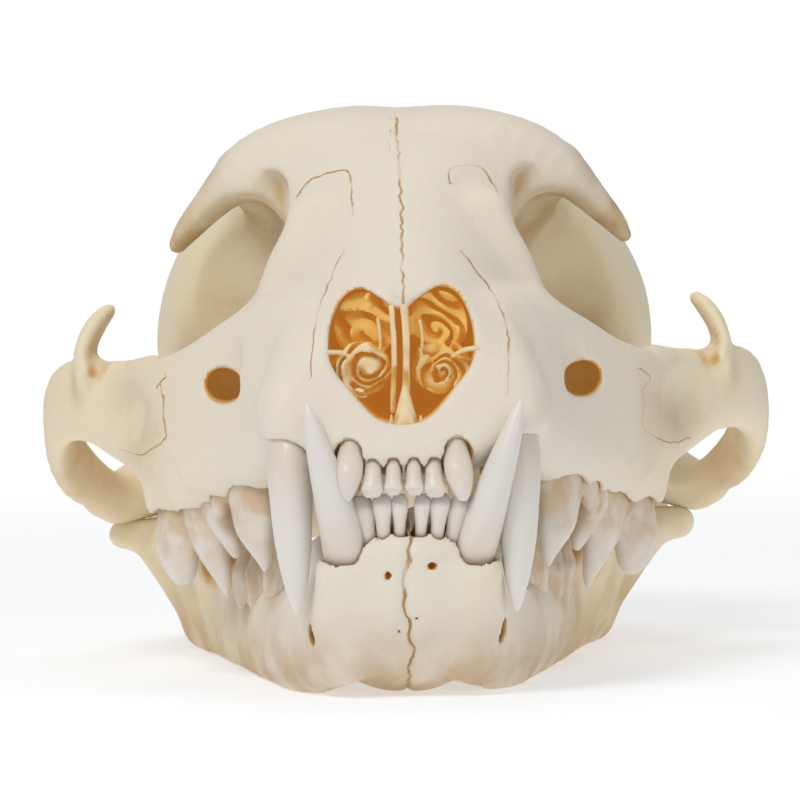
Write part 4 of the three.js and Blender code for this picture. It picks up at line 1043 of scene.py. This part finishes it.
# %% Bone material
IVORY = (0.80, 0.735, 0.635, 1)
CREAM = (0.85, 0.73, 0.51, 1)
# painted shade in hollows
HOLLOW_SHADE_TAN = (0.62, 0.39, 0.14, 1)
# painted shade in creases
CREASE_SHADE_GOLD = (0.66, 0.36, 0.085, 1)
# painted shade and glow deep in the nose and the cheek canals
DEEP_SHADE_AMBER = (0.80, 0.52, 0.15, 1)
BLACK = (0, 0, 0, 1)
# painted glow in the nose and in the deepest creases
NOSE_AND_CREASE_GLOW = (0.11, 0.06, 0.012, 1)  # light that comes through the thin bone of the nose
# stains and painted shade share this brown
STAIN_AND_SHADE = (0.47, 0.27, 0.09, 1)
CRACK = (0.50, 0.25, 0.06, 1)


def link(tree, a, b):
    tree.links.new(a, b)


def attribute(tree, name):
    node = tree.nodes.new("ShaderNodeAttribute")
    node.attribute_name = name
    return node.outputs["Fac"]


def noise(tree, scale, detail, coords=None):
    node = tree.nodes.new("ShaderNodeTexNoise")
    set_inputs(node, {"Scale": scale, "Detail": detail})
    link(tree, coords or coordinates(tree), node.inputs["Vector"])
    return node.outputs["Fac"]


def coordinates(tree):
    node = tree.nodes.new("ShaderNodeTexCoord")
    return node.outputs["Object"]


def sweep(tree, value, low, high, to_low=0.0, to_high=1.0):
    node = tree.nodes.new("ShaderNodeMapRange")
    node.interpolation_type = "SMOOTHSTEP"
    set_inputs(node, {"From Min": low, "From Max": high, "To Min": to_low, "To Max": to_high})
    link(tree, value, node.inputs["Value"])
    return node.outputs["Result"]


def mix(tree, share, first, second):
    node = tree.nodes.new("ShaderNodeMix")
    node.data_type = "RGBA"
    for socket, value in [(node.inputs[0], share), (node.inputs[6], first), (node.inputs[7], second)]:
        if isinstance(value, (float, int, tuple)):
            socket.default_value = value
        else:
            link(tree, value, socket)
    return node.outputs[2]


def calc(tree, operation, *values):
    node = tree.nodes.new("ShaderNodeMath")
    node.operation = operation
    for socket, value in zip(node.inputs, values):
        if isinstance(value, (float, int)):
            socket.default_value = value
        else:
            link(tree, value, socket)
    return node.outputs[0]


def product(tree, a, b):
    return calc(tree, "MULTIPLY", a, b)


def start_material(name):
    material = bpy.data.materials.new(name)
    material.use_nodes = True
    return material, material.node_tree, material.node_tree.nodes["Principled BSDF"]


def roughen(tree, shader, height, strength, distance):
    """Let a height tilt the surface's light, as small bumps do."""
    bump = tree.nodes.new("ShaderNodeBump")
    set_inputs(bump, {"Strength": strength, "Distance": distance})
    link(tree, height, bump.inputs["Height"])
    link(tree, bump.outputs["Normal"], shader.inputs["Normal"])


def seam_line(tree):
    """A thin ragged line wherever the seam attribute passes through nought."""
    ragged = calc(tree, "MULTIPLY_ADD", noise(tree, 420, 2), 1.3, -0.65)
    off = calc(tree, "ABSOLUTE", calc(tree, "ADD", attribute(tree, "seam"), ragged))
    broken = sweep(tree, noise(tree, 160, 1), 0.38, 0.55, 0.25, 1.0)
    line = product(tree, sweep(tree, off, 0.07, 0.26, 1.0, 0.0), broken)
    return product(tree, line, attribute(tree, "seam_here"))


def bone_material():
    material, tree, shader = start_material("dry_bone")
    cloudy = noise(tree, 38, 3)
    back = product(tree, attribute(tree, "back"), sweep(tree, cloudy, 0.25, 0.6, 0.55, 1.0))
    colour = mix(tree, back, IVORY, CREAM)
    colour = mix(tree, sweep(tree, cloudy, 0.56, 0.78, 0.0, 0.35), colour, CREAM)
    # painted shade: the deeper in a hollow, the more tan
    hollow = attribute(tree, "hollow")
    colour = mix(tree, sweep(tree, hollow, 0.3, 0.85, 0.0, 0.95), colour, HOLLOW_SHADE_TAN)
    # stains and painted shade: spots in the orbits, under the brows and round the cheek teeth, and the lower
    # jaw darkening towards the bottom
    stain_and_shade = product(tree, attribute(tree, "stain_and_shade"), sweep(tree, noise(tree, 110, 3), 0.34, 0.62, 0.35, 1.0))
    colour = mix(tree, stain_and_shade, colour, STAIN_AND_SHADE)
    # painted shade: creases turn gold
    crease = attribute(tree, "crease")
    colour = mix(tree, sweep(tree, crease, 0.34, 0.8, 0.0, 0.95), colour, CREASE_SHADE_GOLD)
    # painted shade and glow: deep in the nose and at the back of the cheek canals the bone turns amber
    nose = attribute(tree, "nose")
    colour = mix(tree, nose, colour, DEEP_SHADE_AMBER)
    seam = seam_line(tree)
    colour = mix(tree, product(tree, seam, 0.9), colour, CRACK)
    link(tree, colour, shader.inputs["Base Color"])
    # painted glow: the inside of the nose and the deepest creases give off amber light
    glow = calc(tree, "MAXIMUM", nose, sweep(tree, crease, 0.4, 0.9, 0.0, 0.4))
    link(tree, mix(tree, glow, BLACK, NOSE_AND_CREASE_GLOW), shader.inputs["Emission Color"])
    link(tree, sweep(tree, cloudy, 0.3, 0.7, 0.5, 0.62), shader.inputs["Roughness"])
    set_inputs(shader, {
        "Emission Strength": 1.0, "Specular IOR Level": 0.32, "Subsurface Weight": 0.22,
        "Subsurface Radius": (0.0032, 0.0018, 0.0009), "Subsurface Scale": 1.0})
    height = calc(tree, "SUBTRACT", noise(tree, 620, 3), product(tree, seam, 1.6))
    roughen(tree, shader, height, 0.3, 0.0005)
    return material


BONE = bone_material()
for node, piece in pieces.items():
    piece.data.materials.append(BONE)
    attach(piece, "root")
    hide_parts(node)
scrolls.data.materials.append(BONE)
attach(scrolls, "root")


# %% [markdown]
# ## Teeth
# A tooth is modelled as by hand: a ring is drawn where it grows from the bone, and extruded and
# resized, ring by ring, to its tip. A tooth of several cusps is several such horns, melted together
# by a fine voxel remesh and smoothed.

# %% Extrude a cusp
RING_SIDES = 24
INCISOR_VOXEL, TOOTH_VOXEL = 0.17, 0.22


def horn(rings, turned):
    """Extrude rings (x, y, z, half width along the tooth, half width across it) into one cusp."""
    untwist = Matrix.Rotation(-turned, 3, "Z")
    rings = smooth_line(rings, 3)
    spots = [FRONT + untwist @ Vector(ring[:3]) * MM for ring in rings]
    bpy.ops.object.select_all(action="DESELECT")
    bpy.ops.mesh.primitive_circle_add(vertices=RING_SIDES, radius=MM, fill_type="NGON", location=spots[0])
    bpy.ops.object.transform_apply(location=True, rotation=True, scale=True)
    bpy.ops.object.mode_set(mode="EDIT")
    bpy.ops.mesh.select_all(action="SELECT")
    bpy.ops.transform.resize(value=(rings[0][3], rings[0][4], 1), center_override=spots[0])
    for ring, last, spot, before in zip(rings[1:], rings, spots[1:], spots):
        bpy.ops.mesh.extrude_region_move(TRANSFORM_OT_translate={"value": spot - before})
        bpy.ops.transform.resize(value=(ring[3] / last[3], ring[4] / last[4], 1), center_override=spot)
    bpy.ops.mesh.select_all(action="SELECT")
    bpy.ops.mesh.region_to_loop()
    bpy.ops.mesh.edge_face_add()
    bpy.ops.mesh.select_all(action="SELECT")
    bpy.ops.mesh.normals_make_consistent(inside=False)
    bpy.ops.object.mode_set(mode="OBJECT")
    return bpy.context.object


def tooth(name, side, cusps):
    """One tooth of several cusps, modelled with its row along x and then turned into place."""
    turned = math.atan2(side[1], side[0])
    horns = [horn(rings, turned) for rings in cusps]
    bpy.ops.object.select_all(action="DESELECT")
    for part in horns:
        part.select_set(True)
    bpy.context.view_layer.objects.active = horns[0]
    if len(horns) > 1:
        bpy.ops.object.join()
    piece = bpy.context.object
    piece.name = name
    melt = piece.modifiers.new("melt", "REMESH")
    melt.mode = "VOXEL"
    melt.voxel_size = (INCISOR_VOXEL if "incisor" in name else TOOTH_VOXEL) * MM
    soften = piece.modifiers.new("soften", "SMOOTH")
    soften.factor = 0.5
    soften.iterations = 4 if side == SIDE_X else 9
    finish_mesh(piece)
    about_front = Matrix.Rotation(turned, 4, "Z")
    piece.data.transform(Matrix.Translation(FRONT) @ about_front @ Matrix.Translation(-FRONT))
    return piece


upper_teeth = [tooth(name, *plan) for name, plan in UPPER_TEETH.items()]
lower_teeth = [tooth(name, *plan) for name, plan in LOWER_TEETH.items()]
print("teeth modelled", len(upper_teeth) + len(lower_teeth))

# %% [markdown]
# Left and right teeth are copies, each nudged a little, because no two are quite alike. The lower ones
# follow the jaw's slight skew.

# %% Set the teeth in both sides
NUDGE_SEED = 7
UPPER_GUM, LOWER_GUM = 33, 20
CHEEK_TEETH_FROM = 18
# tartar and painted shade on the cheek teeth
CHEEK_TARTAR_AND_SHADE = 0.75
nudge = random.Random(NUDGE_SEED)


def copy_tooth(piece, side, follow_jaw):
    """A tooth set in one side, which knows how far each point of it is from the gum."""
    twin = piece.copy()
    twin.data = piece.data.copy()
    bpy.context.scene.collection.objects.link(twin)
    twin.name = f"{piece.name}_{'left' if side > 0 else 'right'}"
    mesh = twin.data
    p = skull_points(mesh)
    p += [nudge.uniform(-0.08, 0.08), nudge.uniform(-0.1, 0.1), nudge.uniform(-0.12, 0.12)]
    p[:, 0] *= side
    if follow_jaw:
        p[:, 0] += lean_at(p[:, 1], p[:, 2])
    mesh.vertices.foreach_set("co", ((p - [0, SKULL_LENGTH / 2, 0]) * MM).astype(np.float32).ravel())
    if side < 0:
        mesh.flip_normals()
    if follow_jaw:
        away = p[:, 2] - LOWER_GUM
    else:
        away = UPPER_GUM - 0.22 * np.clip(p[:, 1] - 8, 0, 60) - p[:, 2]
    store(twin, "crown", smoothstep(-1.5, 9, away))
    # tartar and painted shade: the cheek teeth turn brown, most near the gum
    cheek = CHEEK_TARTAR_AND_SHADE if p[:, 1].mean() > CHEEK_TEETH_FROM else 0.0
    store(twin, "tartar_and_shade", cheek * (1 - 0.75 * smoothstep(1, 11, away)))
    mesh.update()
    return twin


all_teeth = []
for side in (1, -1):
    all_teeth += [copy_tooth(piece, side, False) for piece in upper_teeth]
    all_teeth += [copy_tooth(piece, side, True) for piece in lower_teeth]
for piece in upper_teeth + lower_teeth:
    bpy.data.objects.remove(piece)
print("teeth", len(all_teeth))

# %% [markdown]
# Enamel is smoother and whiter than bone, creamy at the root, with brown tartar and painted shade on the
# cheek teeth, deepest near the gum.

# %% Enamel material
ENAMEL = (0.77, 0.735, 0.69, 1)
ENAMEL_ROOT = (0.76, 0.68, 0.59, 1)
# tartar and painted shade on the cheek teeth
TARTAR_AND_SHADE = (0.60, 0.40, 0.19, 1)


def enamel_material():
    material, tree, shader = start_material("dry_enamel")
    cloudy = noise(tree, 140, 2)
    crown = attribute(tree, "crown")
    colour = mix(tree, crown, ENAMEL_ROOT, ENAMEL)
    colour = mix(tree, sweep(tree, cloudy, 0.55, 0.8, 0.0, 0.3), colour, ENAMEL_ROOT)
    # tartar and painted shade: brown on the cheek teeth, strongest near the gum
    tartar_and_shade = product(tree, attribute(tree, "tartar_and_shade"), sweep(tree, noise(tree, 260, 3), 0.35, 0.6, 0.2, 1.0))
    colour = mix(tree, tartar_and_shade, colour, TARTAR_AND_SHADE)
    link(tree, colour, shader.inputs["Base Color"])
    set_inputs(shader, {
        "Roughness": 0.34, "Specular IOR Level": 0.45, "Subsurface Weight": 0.3,
        "Subsurface Radius": (0.0022, 0.0016, 0.0012), "Subsurface Scale": 1.0})
    stretched = tree.nodes.new("ShaderNodeMapping")
    set_inputs(stretched, {"Scale": (1, 1, 0.16)})
    link(tree, coordinates(tree), stretched.inputs["Vector"])
    roughen(tree, shader, noise(tree, 1300, 2, stretched.outputs["Vector"]), 0.12, 0.0003)
    return material


ENAMEL_FINISH = enamel_material()
for piece in all_teeth:
    piece.data.materials.clear()
    piece.data.materials.append(ENAMEL_FINISH)
    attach(piece, "root")
